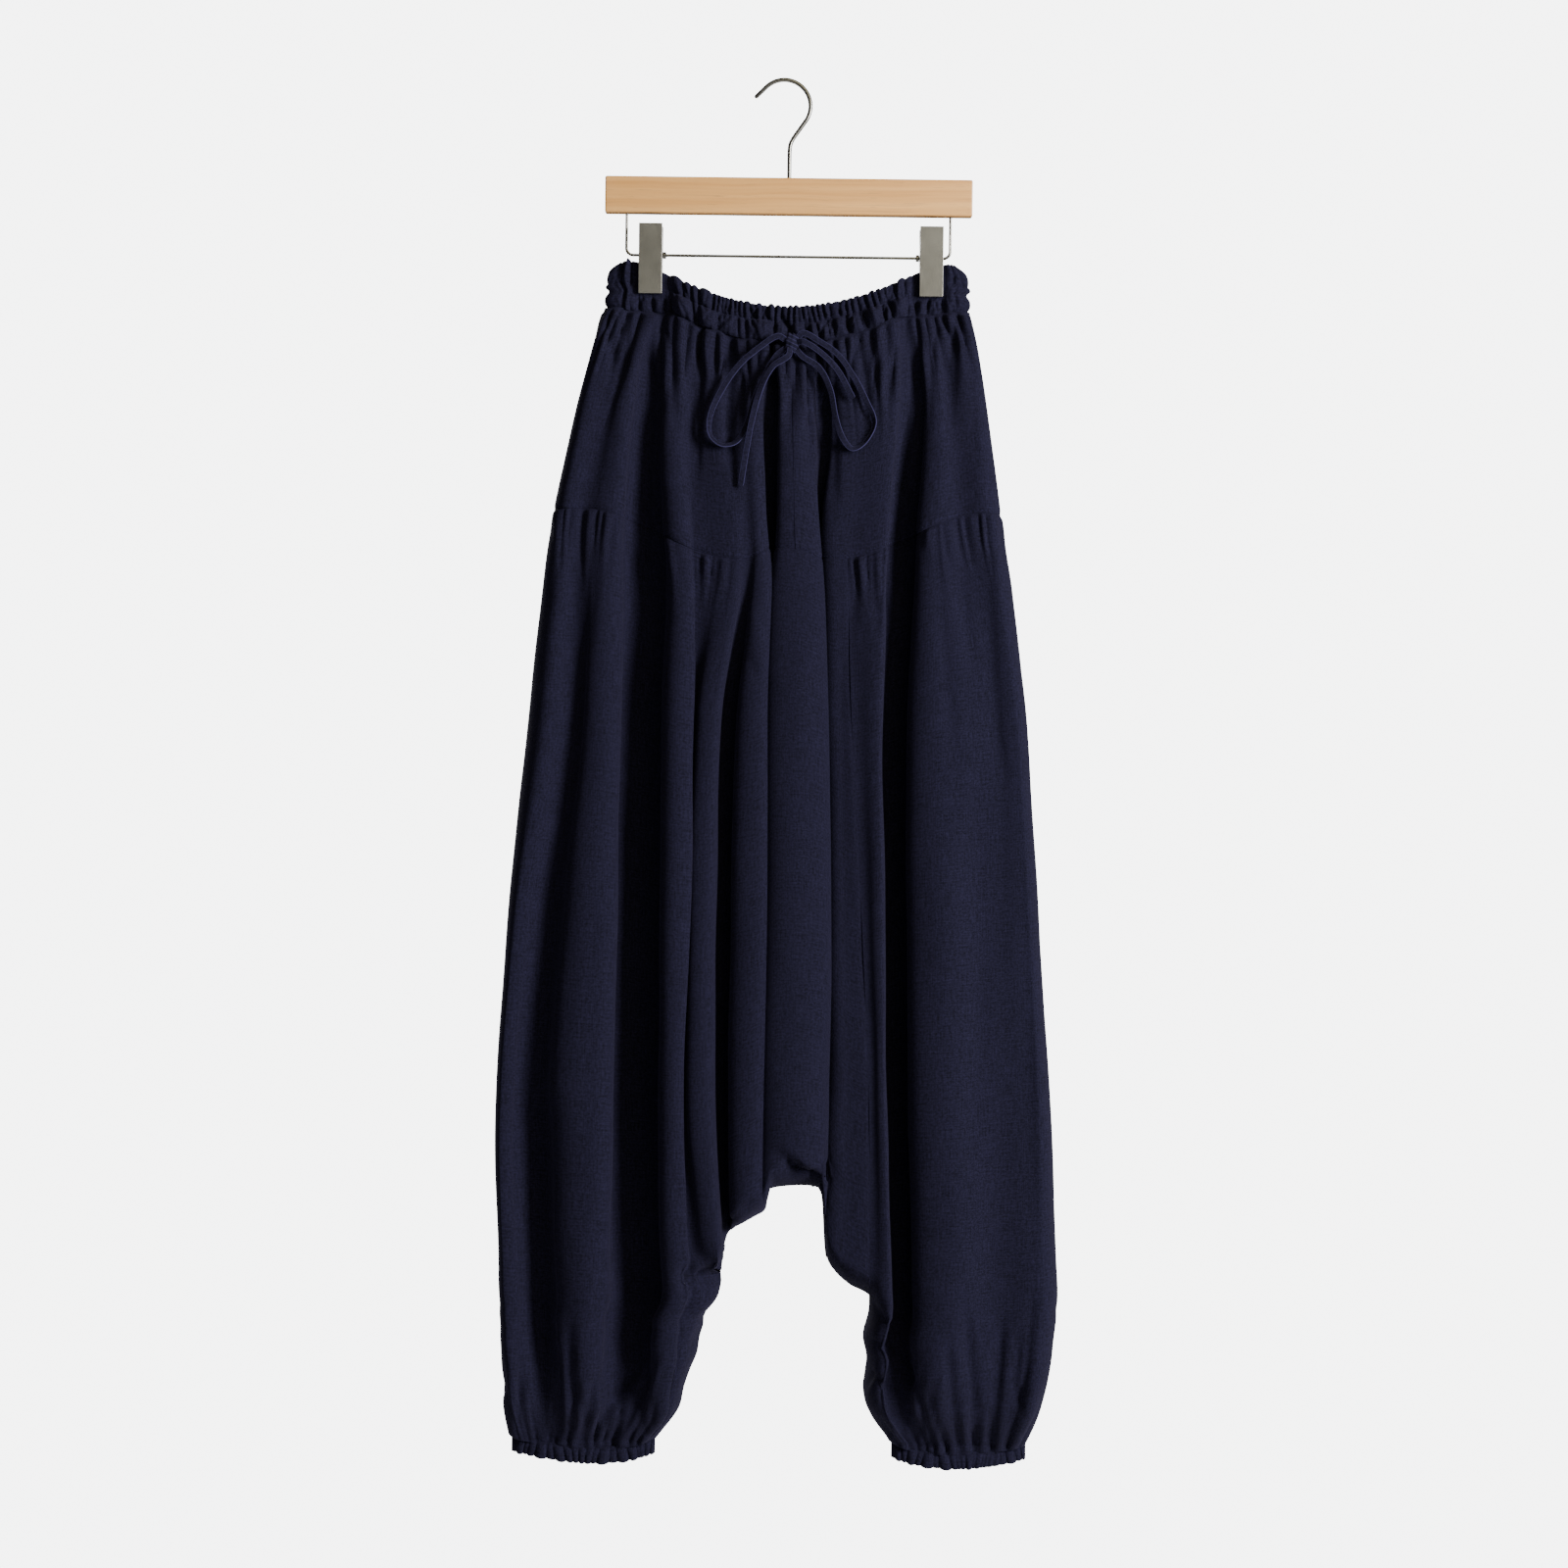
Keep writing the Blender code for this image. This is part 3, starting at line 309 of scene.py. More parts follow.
# Drawstring: each stretch's route in metres, as its solid has it, and how far its tape is turned along it
tie = {
    "width": 0.0052,
    "thick": 0.0010,
    "clear": 0.0016,  # how far it stands off the folds that it crosses
    "knot": (0.009, -0.0219, -0.232),
    "knotSize": (0.0125, 0.0085, 0.0165),
    "steps": 120,
    "sides": 16,
    "startsIn": 0.92,  # share of the knot's half width at which a tape leaves it
    "tip": 0.015,  # share of its length over which a free end narrows
    "hem": 0.7,  # how much thicker its sewn edges are
    "squareness": 0.6,
    "wraps": 7.5,
    "wrapLean": 0.35,
    "wrapDepth": 0.07,
    "lumps": (0.05, 9.0, -3.0),  # their height, and how they run across and up it
    "square": 0.10,
    # how far the knot's cloth UV swings across, so that the painted edge highlight falls along its wraps
    "wrapHighlight": 0.0021,
}
tieRoutes = {
    "tieLoopLeft": (
        (-0.003, -0.0224, -0.226), (-0.015, -0.0222, -0.233), (-0.035, -0.0220, -0.250),
        (-0.051, -0.0238, -0.273), (-0.061, -0.0248, -0.296), (-0.061, -0.0258, -0.313),
        (-0.051, -0.0274, -0.322), (-0.038, -0.0270, -0.319), (-0.029, -0.0264, -0.303),
        (-0.022, -0.0248, -0.279), (-0.012, -0.0220, -0.257), (-0.004, -0.0216, -0.243),
    ),
    "tieEndLeft": (
        (0.006, -0.0275, -0.244), (-0.007, -0.0275, -0.253), (-0.017, -0.0293, -0.272),
        (-0.024, -0.0310, -0.297), (-0.029, -0.0302, -0.325), (-0.034, -0.0290, -0.358),
    ),
    "tieLoopRight": (
        (0.019, -0.0220, -0.223), (0.033, -0.0206, -0.230), (0.049, -0.0204, -0.241),
        (0.064, -0.0230, -0.262), (0.075, -0.0242, -0.283), (0.082, -0.0250, -0.301),
        (0.075, -0.0264, -0.317), (0.063, -0.0274, -0.324), (0.054, -0.0262, -0.314),
        (0.048, -0.0238, -0.296), (0.043, -0.0224, -0.272), (0.033, -0.0208, -0.253),
        (0.018, -0.0216, -0.243),
    ),
    "tieEndRight": (
        (0.019, -0.0260, -0.231), (0.034, -0.0248, -0.240), (0.049, -0.0238, -0.255),
        (0.063, -0.0244, -0.280),
    ),
}
tieTwists = {
    "tieLoopLeft": ((0.0, 0.25, 0.42, 0.55, 0.75, 1.0), (10, -8, 25, 55, -20, 10)),
    "tieEndLeft": ((0.0, 0.3, 0.55, 0.8, 1.0), (20, -25, 12, 5, -4)),
    "tieLoopRight": ((0.0, 0.2, 0.38, 0.5, 0.7, 1.0), (-10, 12, -20, -62, 22, -10)),
    "tieEndRight": ((0.0, 0.4, 1.0), (0, 14, -10)),
}


def through(places, values, at):
    # The smooth curve that passes through each value
    places, values = np.asarray(places, float), np.asarray(values, float)
    at = np.clip(at, places[0], places[-1])
    slopes = np.empty_like(values)
    slopes[1:-1] = (values[2:] - values[:-2]) / (places[2:] - places[:-2])
    slopes[0] = (values[1] - values[0]) / (places[1] - places[0])
    slopes[-1] = (values[-1] - values[-2]) / (places[-1] - places[-2])
    k = np.clip(np.searchsorted(places, at) - 1, 0, len(places) - 2)
    span = places[k + 1] - places[k]
    t = (at - places[k]) / span
    start = (2 * t**3 - 3 * t**2 + 1) * values[k] + (t**3 - 2 * t**2 + t) * span * slopes[k]
    end = (3 * t**2 - 2 * t**3) * values[k + 1] + (t**3 - t**2) * span * slopes[k + 1]
    return start + end


def smooth(low, high, value):
    t = np.clip((value - low) / (high - low), 0, 1)
    return t * t * (3 - 2 * t)


def gridMesh(name, points, flat=None, closed=False):
    # A mesh made from a created grid, whose vertices move to points[row][column]. flat gives its cloth UVs
    rows, columns = points.shape[0] - 1, points.shape[1] - 1
    bm = bmesh.new()
    bmesh.ops.create_grid(bm, x_segments=columns, y_segments=rows, size=0.5)
    mesh = meshOf(name, bm)
    made = np.empty(len(mesh.vertices) * 3, np.float32)
    mesh.vertices.foreach_get("co", made)
    made = made.reshape(-1, 3)
    row = np.rint((0.5 - made[:, 1]) * rows).astype(int)
    column = np.rint((made[:, 0] + 0.5) * columns).astype(int)
    mesh.vertices.foreach_set("co", points[row, column].astype(np.float32).ravel())
    if flat is None:
        flat = flatOf(points)
    corners = np.empty(len(mesh.loops), np.int32)
    mesh.loops.foreach_get("vertex_index", corners)
    uv = mesh.uv_layers.new(name="cloth")
    uv.data.foreach_set("uv", flat[row[corners], column[corners]].astype(np.float32).ravel())
    mesh.update()
    if closed:
        bm = bmesh.new()
        bm.from_mesh(mesh)
        bmesh.ops.remove_doubles(bm, verts=bm.verts, dist=1e-6)
        bmesh.ops.holes_fill(bm, edges=bm.edges, sides=columns + 1)
        bmesh.ops.recalc_face_normals(bm, faces=bm.faces)
        bm.to_mesh(mesh)
        bm.free()
    return mesh


def flatOf(points):
    # How far each point lies along and down the cloth, in metres
    across = np.linalg.norm(np.diff(points, axis=1), axis=2).mean(axis=0)
    down = np.linalg.norm(np.diff(points, axis=0), axis=2).mean(axis=1)
    u, v = np.concatenate([[0], np.cumsum(across)]), np.concatenate([[0], np.cumsum(down)])
    return np.stack(np.meshgrid(u, v), axis=-1)


def runOf(line):
    # How far along a line each of its points lies
    return np.concatenate([[0], np.cumsum(np.linalg.norm(np.diff(line, axis=0), axis=1))])


def routeOf(name):
    # The tape's middle line, from the knot and, on a loop, back to it
    knot, halves = np.array(tie["knot"]), np.array(tie["knotSize"]) / 2
    own = [np.array(point) - (0, tie["clear"], 0) for point in tieRoutes[name]]

    def onKnot(point):
        way = point - knot
        return knot + way / math.sqrt(((way / halves) ** 2).sum()) * tie["startsIn"]

    own = [onKnot(own[0])] + own + ([onKnot(own[-1])] if "Loop" in name else [])
    own = np.array(own)
    lengths = runOf(own)
    spots = np.linspace(0, lengths[-1], tie["steps"] + 1)
    return np.stack([through(lengths, own[:, axis], spots) for axis in range(3)], axis=-1)


def makeTape(name):
    line = routeOf(name)
    along = np.gradient(line, axis=0)
    along /= np.linalg.norm(along, axis=1, keepdims=True)
    share = np.linspace(0, 1, len(line))
    forward = np.array([0.0, -1.0, 0.0])
    face = forward - along * (along @ forward)[:, None]
    face /= np.linalg.norm(face, axis=1, keepdims=True)
    side = np.cross(along, face)
    turned = np.radians(through(*tieTwists[name], share))[:, None]
    side, face = side * np.cos(turned) + face * np.sin(turned), face * np.cos(turned) - side * np.sin(turned)
    around = np.linspace(0, math.tau, tie["sides"] + 1)
    end = np.ones(len(line))
    if "End" in name:
        end = np.sqrt(np.clip(1 - (1 - (1 - share) / tie["tip"]).clip(0, 1) ** 2, 0.3, 1))
    wide = tie["width"] / 2 * end
    lengths = runOf(line)
    rings, flat = [], []
    for angle in around:
        flat.append(np.stack([lengths, wide * math.cos(angle)], axis=-1))
        out, up = (
            math.copysign(abs(turn) ** tie["squareness"], turn) for turn in (math.cos(angle), math.sin(angle))
        )
        thick = tie["thick"] / 2 * (1 + tie["hem"] * abs(math.cos(angle)) ** 6) * up
        rings.append(line + side * (wide * out)[:, None] + face * thick)
    mesh = gridMesh(name, np.stack(rings, axis=1), flat=np.stack(flat, axis=1), closed=True)
    mesh.shade_smooth()
    length = float(lengths[-1])
    print(name, "is", round(length, 4), "m long")
    return finishPiece(name, mesh, navyTape), line, length


def wrapTurn(x, z):
    # The turn of the knot's wraps at a point of it, from -1 to 1 both ways
    return tie["wraps"] * (z + tie["wrapLean"] * x)


def makeKnot():
    # The tape wrapped twice round the crossing, pulled tight
    bm = bmesh.new()
    bmesh.ops.create_uvsphere(bm, u_segments=48, v_segments=32, radius=0.5)
    for vertex in bm.verts:
        x, y, z = vertex.co * 2
        height, across, up = tie["lumps"]
        wrap = tie["wrapDepth"] * math.cos(wrapTurn(x, z)) + height * math.cos(across * x + up * z)
        vertex.co *= (1 + wrap) * (1 + tie["square"] * (abs(x) * abs(z)) ** 0.5)
    bmesh.ops.scale(bm, vec=Vector(tie["knotSize"]), verts=bm.verts)
    bmesh.ops.translate(bm, vec=Vector(tie["knot"]), verts=bm.verts)
    mesh = meshOf("tieKnot", bm)
    uv = mesh.uv_layers.new(name="cloth")
    for corner in mesh.loops:
        # The painted highlights of the tape's edges run along its wraps
        spot = mesh.vertices[corner.vertex_index].co - Vector(tie["knot"])
        turn = wrapTurn(2 * spot.x / tie["knotSize"][0], 2 * spot.z / tie["knotSize"][2])
        uv.data[corner.index].uv = (spot.x, tie["wrapHighlight"] * math.cos(turn))
    mesh.shade_smooth()
    return finishPiece("tieKnot", mesh, navyTape)


print("drawstring")
knot = makeKnot()
for tapeName in tieRoutes:
    tape, tapeLine, tapeLength = makeTape(tapeName)


# Hung shape: where the side and gusset seams run, and how deep the front and back folds reach
sectionColumns = ("drop", "sideLeft", "seamLeft", "seamRight", "sideRight", "front", "back")
sections = (
    (190, -157, -57, 55, 157, 12, 10),
    (235, -171, -60, 58, 168, 19, 15),
    (310, -189, -56, 62, 180, 27, 20),
    (400, -206, -43, 55, 192, 35, 25),
    (450, -212, -44, 56, 201, 39, 28),
    (560, -223, -61, 60, 214, 46, 33),
    (720, -237, -67, 70, 226, 52, 37),
    (900, -247, -65, 79, 239, 56, 40),
    (1050, -243, -48, 81, 247, 56, 40),
    (1064, -242, -50, 82, 247, 55.6, 40),
    (1072, -241, -55, 82, 246, 55, 40),
    (1081, -241, -62, 81, 246, 54.4, 39.6),
    (1091, -240, -63, 78, 245, 53.6, 39),
    (1101, -240, -66, 77, 244, 52.8, 38.5),
    (1115, -239, -68, 80.5, 243, 51.6, 38),
    (1130, -238, -74, 79, 241, 50, 37),
    (1145, -237, -79, 78.5, 238, 45, 34),
    (1165, -235, -84, 84, 232, 37, 29),
    (1192, -230, -104, 103, 221, 15, 14),
)

# The folds between two seams from left to right, in hundredths: each one's place between them at each of
# placeDrops, its share of the layer's depth at each of depthDrops and, where they don't stand half way to the
# next fold, how near to it the walls to its left and right stand
placeDrops = (235, 400, 560, 720, 900, 1050, 1192)
depthDrops = (235, 400, 560, 1050, 1192)
halfWay = (50, 50)
folds = {
    "front": {
        "left": (
            ("outerRoll", (9, 8, 12, 6, 4, 4, 7), (85, 85, 85, 70, 90)),
            ("outerDip", (26, 17, 27, 20, 15, 16, 20), (72, 74, 64, 46, 80), (50, 32)),
            ("broadRoll", (36, 31, 41, 45, 45, 39, 44), (95, 95, 100, 100, 100)),
            ("greatPleat", (48, 50, 59, 66, 68, 64, 72), (40, 14, 10, 16, 72), (50, 58)),
            ("innerRoll", (66, 70, 82, 86, 86, 81, 90), (95, 92, 95, 92, 90)),
            ("crease", (85, 78, 89, 93, 90, 88, 95), (60, 72, 55, 70, 70), (22, 25)),
        ),
        "middle": (
            ("pocketPleat", (12, 11, 12, 15, 14, 7, 7), (60, 80, 30, 25, 30), (50, 34)),
            ("leftRoll", (26, 22, 33, 34, 30, 21, 21), (90, 90, 90, 90, 90)),
            ("leftPleat", (38, 33, 42, 43, 39, 32, 32), (40, 26, 22, 26, 30), (30, 20)),
            ("centreRoll", (53, 53, 60, 60, 57, 52, 52), (95, 95, 98, 100, 100)),
            ("rightPleat", (73, 76, 80, 78, 73, 67, 67), (40, 22, 14, 20, 30), (20, 32)),
            ("flapEdge", (88, 90, 91, 87, 84, 79, 79), (84, 86, 82, 82, 80)),
        ),
        "right": (
            ("flapRoll", (31, 23, 15, 11, 8, 10, 10), (95, 98, 100, 95, 90)),
            ("greatPleat", (49, 41, 28, 22, 19, 18, 17), (36, 14, 10, 14, 66), (68, 34)),
            ("broadRoll", (62, 57, 49, 45, 42, 42, 36), (92, 95, 100, 100, 100)),
            ("outerDip", (74, 74, 81, 78, 73, 68, 76), (72, 80, 84, 78, 80)),
            ("outerRoll", (87, 89, 92, 92, 91, 89, 90), (85, 88, 88, 85, 90)),
        ),
    },
    "back": {
        "left": (
            ("outerRoll", (12, 12, 12, 12, 12, 12, 14), (85, 85, 88, 88, 90)),
            ("outerDip", (28, 26, 27, 27, 28, 28, 32), (68, 60, 52, 50, 80)),
            ("broadRoll", (44, 42, 44, 46, 47, 46, 52), (95, 95, 100, 100, 100)),
            ("greatPleat", (62, 60, 63, 66, 68, 68, 72), (55, 40, 26, 28, 75), (35, 30)),
            ("innerRoll", (80, 80, 83, 85, 86, 86, 88), (92, 92, 95, 92, 90)),
        ),
        "middle": (
            ("leftPleat", (18, 16, 18, 18, 18, 14, 14), (60, 50, 35, 30, 30), (40, 40)),
            ("leftRoll", (33, 32, 33, 33, 32, 26, 26), (90, 90, 92, 92, 90)),
            ("innerPleat", (43, 43, 44, 43, 42, 36, 36), (60, 50, 36, 34, 30), (40, 40)),
            ("centreRoll", (53, 53, 56, 57, 57, 52, 52), (95, 95, 98, 100, 100)),
            ("rightPleat", (68, 70, 70, 71, 71, 67, 67), (60, 50, 34, 30, 30), (40, 40)),
            ("rightRoll", (82, 84, 83, 84, 84, 81, 81), (90, 90, 92, 92, 90)),
        ),
        "right": (
            ("innerDip", (13, 12, 10, 10, 10, 10, 10), (74, 70, 66, 64, 70)),
            ("innerRoll", (25, 24, 22, 20, 19, 19, 18), (92, 92, 95, 92, 90)),
            ("greatPleat", (40, 39, 37, 35, 33, 33, 30), (55, 40, 26, 28, 70), (35, 30)),
            ("broadRoll", (56, 57, 55, 54, 54, 55, 50), (95, 95, 100, 100, 100)),
            ("outerDip", (72, 74, 74, 73, 72, 72, 70), (68, 62, 55, 52, 80)),
            ("outerRoll", (87, 88, 88, 88, 88, 88, 86), (85, 85, 88, 88, 90)),
        ),
    },
}
panels = {
    "left": ("sideLeft", "seamLeft"),
    "middle": ("seamLeft", "seamRight"),
    "right": ("seamRight", "sideRight"),
}
forks = {"seamLeft": 1043.0, "seamRight": 1063.0}

# The crotch seam from fork to fork: x and drop
arch = (
    (-48, 1043), (-46, 1024), (-42, 1010), (-28, 1000), (-18, 994), (-10, 988), (-8, 975), (-5, 970),
    (14, 968), (37, 970), (40.5, 978), (42, 1003), (44, 1028), (50, 1040), (62, 1051), (82, 1063),
)

seams = {
    "gap": 0.02,
    "tuck": 1.6,  # height and depth by which a piece reaches behind the one above it
    "share": 0.86,  # depth of the cloth at a gusset seam
    "steep": (0.15, 0.8),  # slopes between which a fold's wall turns upright
    "overhung": (0.7, 1.6),  # and between which its roll stands out over the hollow beside it
    "overhang": 1.3,
    "curl": 24.0,  # height over which the crotch turns under
    "sideDrop": 378.0,
    "vee": 42.0,
    "veeReach": (45.0, 175.0),
    "middleRise": 8.0,
    "middleReach": (10.0, 34.0),
    "half": 220.0,
    "forkReach": (-34.0, 8.0),  # drops from its fork between which a gusset seam becomes a leg's round edge
    "groove": (0.9, 2.2),  # depth and width of the line that a seam draws in the cloth
    "soft": 0.08,  # how much of it an upright seam shows
}

band = {
    "top": 158.5,
    "dip": 40.0,
    "reach": 125.0,
    "turn": 0.17,
    "height": 32.0,
    "longer": 11.0,  # the band is deeper outside the clips, over these distances
    "longerFrom": (95.0, 130.0),
    "half": 158.0,
    "depth": 14.0,
    "endsDip": 3.0,
    "cloth": 1.0,
    "rows": 44,
    "columns": 420,
    "split": 0.43,  # the stitching between its two casings, as a share of its height
    "splitWave": (0.03, 13.0),
    "even": 0.6,  # how evenly its columns are spread across it
    "endDepth": 9.0,  # depth that it keeps near its ends, from between these distances outwards
    "endFrom": (132.0, 142.0),
    "endShare": 0.03,  # share of its width at each end over which its folds start
    "calmFrom": (143.0, 154.0),
    "calm": 0.8,
    "freed": 0.7,  # how much it puffs out again under a clip, between these shares of its height
    "freedFrom": (0.6, 0.74),
    "faint": 0.65,  # share of their height that the fine folds have at the upper casing's edges
    "carried": (0.4, 0.6),  # how much of them runs on over the lower one, and how much less at its middle
    "puffs": (1.6, 3.0),  # how far the upper and lower casings stand out
    "sunk": 1.4,
    "fullerEnds": 0.5,
    "ruffle": 0.55,
    "ruffled": 0.35,
    "outlineFrom": (134.0, 157.0),
    "unsewn": 6,  # columns at each end
}

cuffs = {
    "tops": {"left": 1191.5, "right": 1193.0},
    "height": 12.0,
    "tuck": 0.2,  # share of its height by which a cuff reaches into its leg
    "sag": 8.0,
    "lean": {"left": 0.4, "right": -0.2},  # a hem hangs lowest to this side of its middle
    "depth": 13.0,
    "left": (-230, -104),
    "right": (103, 221),
    "cloth": 1.0,
    "rows": 22,
    "columns": 240,
    "topDepth": 0.86,  # share of its depth at its top, and the share of its height where it has all of it
    "wholeFrom": 0.06,
    "foldFrom": 0.4,  # its folds start between its ends and this cosine of the way round
    "drift": (3.0, 9.0),
    "faint": 0.6,  # share of their height that its folds have at its top
    "sunk": 0.3,
    "scallop": 0.35,
    "sewnRow": 7,
    "unsewn": 4,
}

clips = {"left": -120.5, "right": 125.5}
clipGrip = {
    "width": 20.5,
    "depth": 4.1,
    "fade": (2.0, 20.0),
    "plain": (1.0, 12.0),
    "drops": (190.0, 250.0),
}


def sectionAt(drop):
    drops = [row[0] for row in sections]
    return {name: through(drops, values, drop) for name, values in zip(sectionColumns, zip(*sections))}


def turnedUnder(height):
    t = np.clip(height / seams["curl"], 0, 1)
    return np.sqrt(1 - (1 - t) ** 2)


def metAtEnds(depth):
    # A layer's depth, where it meets the other one at its two sides
    depth = np.maximum(seams["gap"] / 2, depth)
    depth[:, 0] = depth[:, -1] = seams["gap"] / 2
    return depth


def nearClip(x, fade):
    reach = clipGrip["width"] / 2
    return np.maximum(*(1 - smooth(*fade, np.abs(x - centre) - reach) for centre in clips.values()))


def pinched(x, depth, held):
    return depth - nearClip(x, clipGrip["fade"]) * held * np.maximum(0, depth - clipGrip["depth"])


def shares(values):
    return tuple(value / 100 for value in values)


def chainOf(layer):
    # The layer's seams and folds from left to right
    chain = ["sideLeft"]
    for panel, (_, seam) in panels.items():
        for name, places, depths, *walls in folds[layer][panel]:
            both = walls[0] if walls else halfWay
            chain.append((panel, name, shares(places), shares(depths), shares(both)))
        chain.append(seam)
    return chain


chains = {layer: chainOf(layer) for layer in towards}


def placeOf(layer, name):
    for k, fold in enumerate(chains[layer]):
        if fold == name or tuple(fold[:2]) == ("middle", name):
            return k


def foldPoint(layer, k, drop):
    section = sectionAt(drop)
    fold = chains[layer][k]
    walls = shares(halfWay)
    if fold in ("sideLeft", "sideRight"):
        x, share = section[fold], 0.0
    elif fold in forks:
        x, share = section[fold], seams["share"] * turnedUnder(forks[fold] - drop)
    else:
        panel, _, places, depths, walls = fold
        start, end = (section[seam] for seam in panels[panel])
        x = start + (end - start) * through(placeDrops, places, drop)
        share = through(depthDrops, depths, drop)
    return x, pinched(x, section[layer] * share, 1 - smooth(*clipGrip["drops"], drop)), walls


def roundedAt(edge, legEdges, drop):
    # How much of an edge is a leg's round one: a side all of it, and a gusset seam below its fork
    if edge not in legEdges:
        return 0.0
    if edge in forks:
        return smooth(*(forks[edge] + step for step in seams["forkReach"]), drop)
    return 1.0


def clothLine(layer, place, drop):
    # x and depth of the hung cloth down one line of it: rolls, walls and hollows between its folds
    chain = chains[layer]
    k = min(int(place), len(chain) - 2)
    share = place - k
    (xa, ya, wallsA), (xb, yb, wallsB) = foldPoint(layer, k, drop), foldPoint(layer, k + 1, drop)
    roundA = roundedAt(chain[k], ("sideLeft", "seamRight"), drop)
    roundB = roundedAt(chain[k + 1], ("seamLeft", "sideRight"), drop)
    width = xb - xa
    wall = np.where(yb < ya, xb - wallsB[0] * width, xa + wallsA[1] * width)
    slope = np.abs(yb - ya) / np.maximum(1.0, np.abs(width))
    steep = smooth(*seams["steep"], slope) + seams["overhang"] * smooth(*seams["overhung"], slope)
    turn = math.pi * share
    if share < 0.5:
        xSteep = xa + (wall - xa) * math.sin(turn)
    else:
        xSteep = wall + (xb - wall) * (1 - math.sin(turn))
    x = (1 - steep) * (xa + width * share) + steep * xSteep
    y = ya + (yb - ya) * (1 - math.cos(turn)) / 2
    slow, fast = 1 - math.cos(turn / 2), math.sin(turn / 2)
    x = x + roundA * (xa + width * slow - x)
    y = y + roundA * (ya + (yb - ya) * fast - y)
    x = x + roundB * (xa + width * fast - x)
    y = y + roundB * (ya + (yb - ya) * slow - y)
    return x, y


def bandTop(x):
    bow = 1 - (x / band["reach"]) ** 2
    return band["top"] + band["dip"] * (bow + np.hypot(bow, band["turn"])) / 2


def bandSeam(x):
    return bandTop(x) + band["height"] + band["longer"] * smooth(*band["longerFrom"], np.abs(x))


def yokeSeam(x):
    low = seams["vee"] * smooth(*seams["veeReach"], seams["half"] - np.abs(x))
    return seams["sideDrop"] + low - seams["middleRise"] * (1 - smooth(*seams["middleReach"], np.abs(x)))


def hemSeam(x):
    side = "left" if np.max(x) < 0 else "right"
    low, high = cuffs[side]
    t = (2 * x - low - high) / (high - low)
    return cuffs["tops"][side] + cuffs["sag"] * np.maximum(0, 1 - t * t) * (1 + cuffs["lean"][side] * t)


def crotchSeam(x):
    return through([point[0] for point in arch], [point[1] for point in arch], x)


def dropOn(seam, layer, place, guess):
    drop = guess
    for _ in range(5):
        drop = float(seam(float(clothLine(layer, place, drop)[0])))
    return drop


gathering = {
    "heights": (0.4, 1.3),  # the least and most of its kind's height and reach that a ridge has
    "reaches": (0.3, 1.75),
    "sunk": 0.5,
    "drift": 0.07,
    "driftWidth": 13.0,
    "grows": 3.0,  # distances from the seam at which a ridge is whole and at which it starts to fade
    "full": 6.0,
}


# A ridge's height as a share of its width, and the least and most that it is
ridgeHeights = {
    "upper": (0.75, 3.0, 6.0),
    "lower": (0.70, 4.5, 10.0),
    "waist": (0.62, 4.0, 7.5),
    "yoke": (0.36, 1.6, 3.8),
    "ankle": (0.5, 1.4, 4.2),
    "cuff": (0.45, 1.5, 3.0),
}


# Gathers: round ridges between troughs, each with its own height and reach. A ridge wider than widest is flat
def gathersAt(troughs, kind, reach, seed, widest=1000.0, roundness=0.85):
    draw = random.Random(seed)
    troughs = np.array(troughs, float)
    widths = np.diff(troughs)
    share, least, most = ridgeHeights[kind]
    heights = np.clip(share * widths, least, most) * (widths <= widest)
    heights = heights * np.array([draw.uniform(*gathering["heights"]) for _ in widths])
    padded = np.concatenate([heights[:1], heights, heights[-1:]])
    return {
        "troughs": troughs,
        "heights": heights,
        "sinks": (padded[1:] + padded[:-1]) / 2,
        "reaches": np.array([reach * draw.uniform(*gathering["reaches"]) for _ in widths]),
        "roundness": roundness,
    }


def makeGathers(low, high, step, kind, reach, seed, uneven, roundness=0.85):
    draw = random.Random(seed)
    troughs = [low - step]
    while troughs[-1] < high + step:
        troughs.append(troughs[-1] + step * draw.uniform(1 - uneven, 1 + uneven))
    return gathersAt(troughs, kind, reach, seed, roundness=roundness)


def ridgeAt(gathers, x, roundness):
    # How far the ridges and troughs stand out at x
    troughs = gathers["troughs"]
    k = np.clip(np.searchsorted(troughs, x) - 1, 0, len(troughs) - 2)
    t = np.clip((x - troughs[k]) / (troughs[k + 1] - troughs[k]), 0, 1)
    sunk = gathers["sinks"][k] * (1 - t) + gathers["sinks"][k + 1] * t
    return gathers["heights"][k] * np.abs(np.sin(np.pi * t)) ** roundness - gathering["sunk"] * sunk


def gatherAt(gathers, x, distance):
    # Gathers beside a seam: they drift sideways as they run away from it, and each fades out at its own reach
    drifted = x + gathering["drift"] * distance * np.sin(x / gathering["driftWidth"])
    reach = np.interp(x, (gathers["troughs"][1:] + gathers["troughs"][:-1]) / 2, gathers["reaches"])
    full = gathering["full"]
    fades = 1 - smooth(full, np.maximum(reach, 2 * full), distance)
    return ridgeAt(gathers, drifted, gathers["roundness"]) * smooth(0, gathering["grows"], distance) * fades


print("hung shape ready")


def outwardNormals(points, layer, level=0.0):
    # level is how much of the slope up or down they keep
    down, across = np.gradient(points, axis=0), np.gradient(points, axis=1)
    normal = np.cross(across, down)
    normal[..., 2] *= level
    normal /= np.maximum(1e-12, np.linalg.norm(normal, axis=2, keepdims=True))
    return normal * (1 if layer == "front" else -1)


